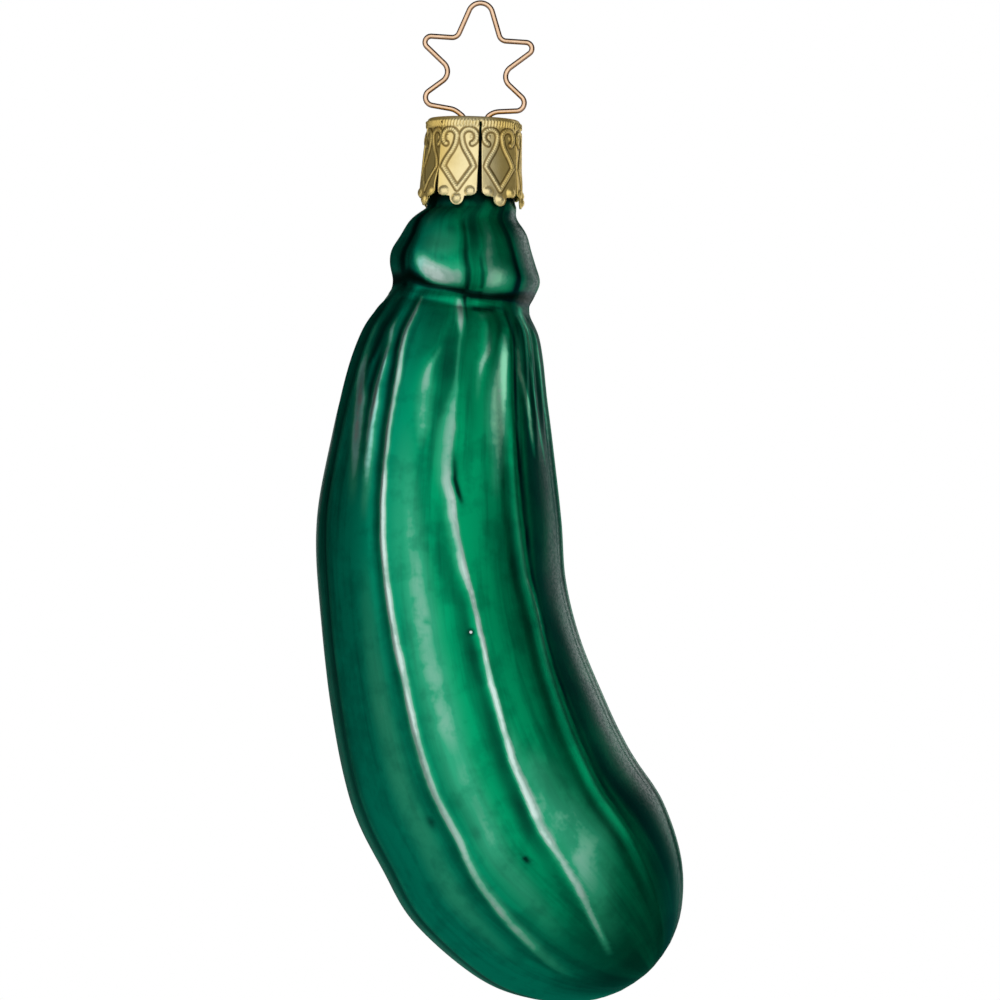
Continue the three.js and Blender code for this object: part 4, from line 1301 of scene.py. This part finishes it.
def greenLacquer(bubblePlace):
    material, tree, shader = newMaterial("greenLacquer")
    place = objectPlace(tree)
    flow = attributeOf(tree, "flow")
    paint = partsOf(tree, attributeOf(tree, "paint"))
    sideways = partsOf(tree, flow)["Y"]
    streak = noiseOf(tree, stretched(tree, flow, lacquer["streakScale"]), 1.0, 4.0, 0.6)
    patch = noiseOf(tree, stretched(tree, flow, lacquer["patchScale"]), 1.0, 3.0, 0.55)
    mottle = noiseOf(tree, place, *lacquer["mottle"])
    grain = grainOf(tree, place, *lacquer["grain"])

    # full lacquer, in streaks and blotches
    # painted light by side: the lacquer is darker and bluer at the left, and its deep colour bluer at the far
    # right
    right = mapTo(tree, sideways, -0.9, 0.2)
    green = mixOf(tree, right, *lacquer["green"])
    deep = mixOf(tree, right, *lacquer["deep"][:2])
    deep = mixOf(tree, mapTo(tree, sideways, 0.55, 0.75), deep, lacquer["deep"][2])
    streaky = mapTo(tree, streak, 0.30, 0.60, 0.55, 1.04)
    blotchy = mapTo(tree, mottle, 0.32, 0.6, 0.76, 1.05)
    main = mixOf(tree, mathOf(tree, "MULTIPLY", streaky, blotchy), deep, green)
    # painted shade: the lacquer turns deep where shadeAndSpecks is strong, which also holds the real specks
    shadeAndSpecksShare = mathOf(tree, "MULTIPLY", paint["Y"], mapTo(tree, patch, 0.25, 0.6, 0.75, 1.0))
    main = mixOf(tree, shadeAndSpecksShare, main, deep)

    # painted highlights: bright, then pale, then nearly white
    paintedHighlight = mathOf(tree, "MULTIPLY", paint["X"], mapTo(tree, patch, 0.3, 0.55, 0.75, 1.0))
    paintedHighlight = mathOf(tree, "MULTIPLY", paintedHighlight, mapTo(tree, mottle, 0.32, 0.6, 0.7, 1.1))
    paintedHighlight = mathOf(tree, "MULTIPLY", paintedHighlight, mapTo(tree, streak, 0.3, 0.6, 0.9, 1.04))
    pale = mixOf(tree, mapTo(tree, sideways, -0.65, -0.45), *lacquer["pale"][:2])
    pale = mixOf(tree, mapTo(tree, sideways, 0.2, 0.5), pale, lacquer["pale"][2])
    main = mixOf(tree, mapTo(tree, paintedHighlight, 0.0, 0.5, smooth=False), main, lacquer["bright"])
    main = mixOf(tree, mapTo(tree, paintedHighlight, 0.35, 0.8, smooth=False), main, pale)
    main = mixOf(tree, mapTo(tree, paintedHighlight, 1.0, 1.4, smooth=False), main, lacquer["nearWhite"])
    # painted shadow: black where the painted shade is strongest (the undercut, the neck under the cap) and at
    # the core of the specks
    main = mixOf(tree, mapTo(tree, paint["Y"], 1.0, 1.6, smooth=False), main, lacquer["shadowBlack"])

    # tiny bubble with a dark ring; the near-white dot at its middle is partly the silver inside and partly a
    # painted glint
    reach = placeNode(tree, "VectorMath", {0: place, 1: tuple(bubblePlace)}, operation="DISTANCE")
    away = reach.outputs["Value"]
    main = mixOf(tree, mapTo(tree, away, 0.15 * mm, 0.8 * mm, 0.85, 0.0), main, deep)
    main = mixOf(tree, mapTo(tree, away, 0.12 * mm, 0.24 * mm, 1.0, 0.0), main, lacquer["bubbleWhite"])
    base = mixOf(tree, paint["Z"], main, lacquer["silver"])

    rough = mapTo(tree, patch, 0.3, 0.7, *lacquer["roughness"])
    rough = mathOf(tree, "MULTIPLY_ADD", paintedHighlight, lacquer["highlightGloss"], rough)
    broken = mapTo(tree, grain.outputs["Mask"], 0, 1, 0.5, 1.0)
    coat = mathOf(tree, "MULTIPLY", attributeOf(tree, "gloss", "Fac"), broken)
    setInputs(tree, shader, {
        "Base Color": base, "Metallic": 1.0, "Roughness": rough, "Specular Tint": lacquer["edgeTint"],
        "Coat Weight": coat, "Coat Roughness": lacquer["coatRoughness"], "Coat IOR": 1.5,
        "Normal": bumpOf(tree, grain.outputs["Height"], *lacquer["bump"]),
    })
    return material


# shape of the glass


def glassRows(inset):
    # stations of one skin of the wall, with the rounded blossom end, and its tip
    rows = [(capSide - glass["footClearance"] / 3, 0, glass["footRadius"] - glass["footClearance"], 0)]
    rows += glass["stations"]
    lastSide, lastDepth, lastRadius = rows[-1][:3]
    heading = math.radians(glass["endHeading"])
    length = glass["endLength"] - inset
    made = [(side, depth, radius - inset, way) for side, depth, radius, way in rows]

    def ahead(reach, radius):
        side, depth = lastSide + reach * math.sin(heading), lastDepth + reach * math.cos(heading)
        return side, depth, radius, glass["endHeading"]

    for degrees in glass["endSections"]:
        a = math.radians(degrees)
        made.append(ahead(length * math.sin(a), (lastRadius - inset) * math.cos(a)))
    return made, ahead(length, 0.0)


def glassRings(inset, spacing):
    # rings from the rim of the neck down to the tip
    rows, tip = glassRows(inset)
    finer, finerAbove = glass["stemFiner"]
    steps = []
    for a, b in zip(rows[:-1], rows[1:]):
        step = spacing * (finer if b[1] < finerAbove else 1)
        steps.append(max(2, round(math.hypot(b[0] - a[0], b[1] - a[1]) / step)))
    line = splineThrough(rows, steps)
    outside = not inset
    radius = glass["neckRadius"] if outside else glass["boreRadius"]
    count = glass["neckRings"][0 if outside else 1]
    heights = np.linspace(neckTop - capFoot, glass["flareLength"], count)
    neck = [(capSide, -height, radius, 0) for height in heights]
    parts = [neck, line]
    if outside:
        foot, start = np.array(neck[-1]), np.array(line[0])
        curve = [foot, blend(foot, start, 0.33), blend(foot, start, 0.67), start]
        parts.insert(1, splineThrough(curve, glass["flareCuts"])[1:-1])
    return [tuple(row) for row in np.vstack(parts)] + [tip]


def columnAngles():
    # the columns lie closer together at the front, where the lacquer is seen best
    even = np.arange(glass["around"]) * 2 * math.pi / glass["around"] - math.pi
    return even - glass["frontFiner"] * np.sin(even)


def waveOf(radians, depth, radius):
    calm = float(smoothStep(depth, *glass["waveDepths"])) * min(1.0, radius / glass["waveRadius"])
    wave = np.full(len(radians), -glass["waveSettle"])
    for turns, length, offset, height in glass["waves"]:
        place = depth / length + offset
        wave += [height * noise.noise(Vector((turns * math.cos(a), turns * math.sin(a), place)))
                 for a in radians]
    return wave * calm


def ringPoints(row, inside, radians):
    side, depth, radius, heading = row
    drop = 0 if depth < 0 else glassRelief(np.degrees(radians), depth, radius)
    reach = np.maximum(radius - drop, 0)
    if not inside and depth > glass["waveDepths"][0]:
        reach = reach + waveOf(radians, depth, radius)
    flat = float(blend(1, glass["depthShare"], smoothStep(depth, 0, 2 * glass["pinch"])))
    across, front = reach * np.sin(radians), -reach * flat * np.cos(radians)
    h = math.radians(heading)
    return np.stack([side + across * math.cos(h), front, capFoot - depth + across * math.sin(h)], axis=1)


def bubbleSpot(rings, radians):
    azimuth, depth = lacquer["bubble"]
    ring = min(rings, key=lambda row: abs(row[1] - depth))
    nearest = int(np.argmin(np.abs(np.degrees(radians) - azimuth)))
    return ringPoints(ring, False, radians)[nearest] * mm


def buildGlass():
    radians = columnAngles()
    outer = glassRings(0, glass["outerStep"])
    inner = glassRings(glass["wall"], glass["innerStep"])
    bm = bmesh.new()
    column = bm.verts.layers.int.new("column")
    flow = bm.verts.layers.float_vector.new("flow")
    paint = bm.verts.layers.float_vector.new("paint")
    gloss = bm.verts.layers.float.new("gloss")
    verts, edges = startRing(bm, glass["around"], column)
    # one skin: up the inside from its tip to the rim, and down the outside
    before = None
    gone = 0.0
    for row, inside in [(row, True) for row in inner[::-1]] + [(row, False) for row in outer]:
        if before:
            verts, edges = growRing(bm, edges)
            if not inside:
                gone += math.hypot(row[0] - before[0], row[1] - before[1])
        before = row
        points = ringPoints(row, inside, radians)
        paintedHighlight, shadeAndSpecks, glossy = lacquerOf(np.degrees(radians), row[1], row[2])
        for vert in verts:
            k = vert[column]
            vert.co = points[k]
            vert[flow] = (math.cos(radians[k]), math.sin(radians[k]), gone)
            # paint holds the painted highlights, the painted shade with the specks, and whether this is the
            # silvered inside
            vert[paint] = (paintedHighlight[k], shadeAndSpecks[k], 1.0 if inside else 0.0)
            vert[gloss] = glossy[k]
    bmesh.ops.remove_doubles(bm, verts=bm.verts, dist=1e-4)
    bmesh.ops.recalc_face_normals(bm, faces=bm.faces)
    if bm.calc_volume(signed=True) < 0:
        bmesh.ops.reverse_faces(bm, faces=bm.faces)
    material = greenLacquer(bubbleSpot(outer, radians))
    finishPiece(bm, "glass_zucchini", material, "glass", "glass_body")


buildGlass()
print("glass zucchini made")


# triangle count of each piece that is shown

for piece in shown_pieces():
    count = sum(len(face.vertices) - 2 for face in piece.data.polygons)
    print(piece.name, "triangles", count)
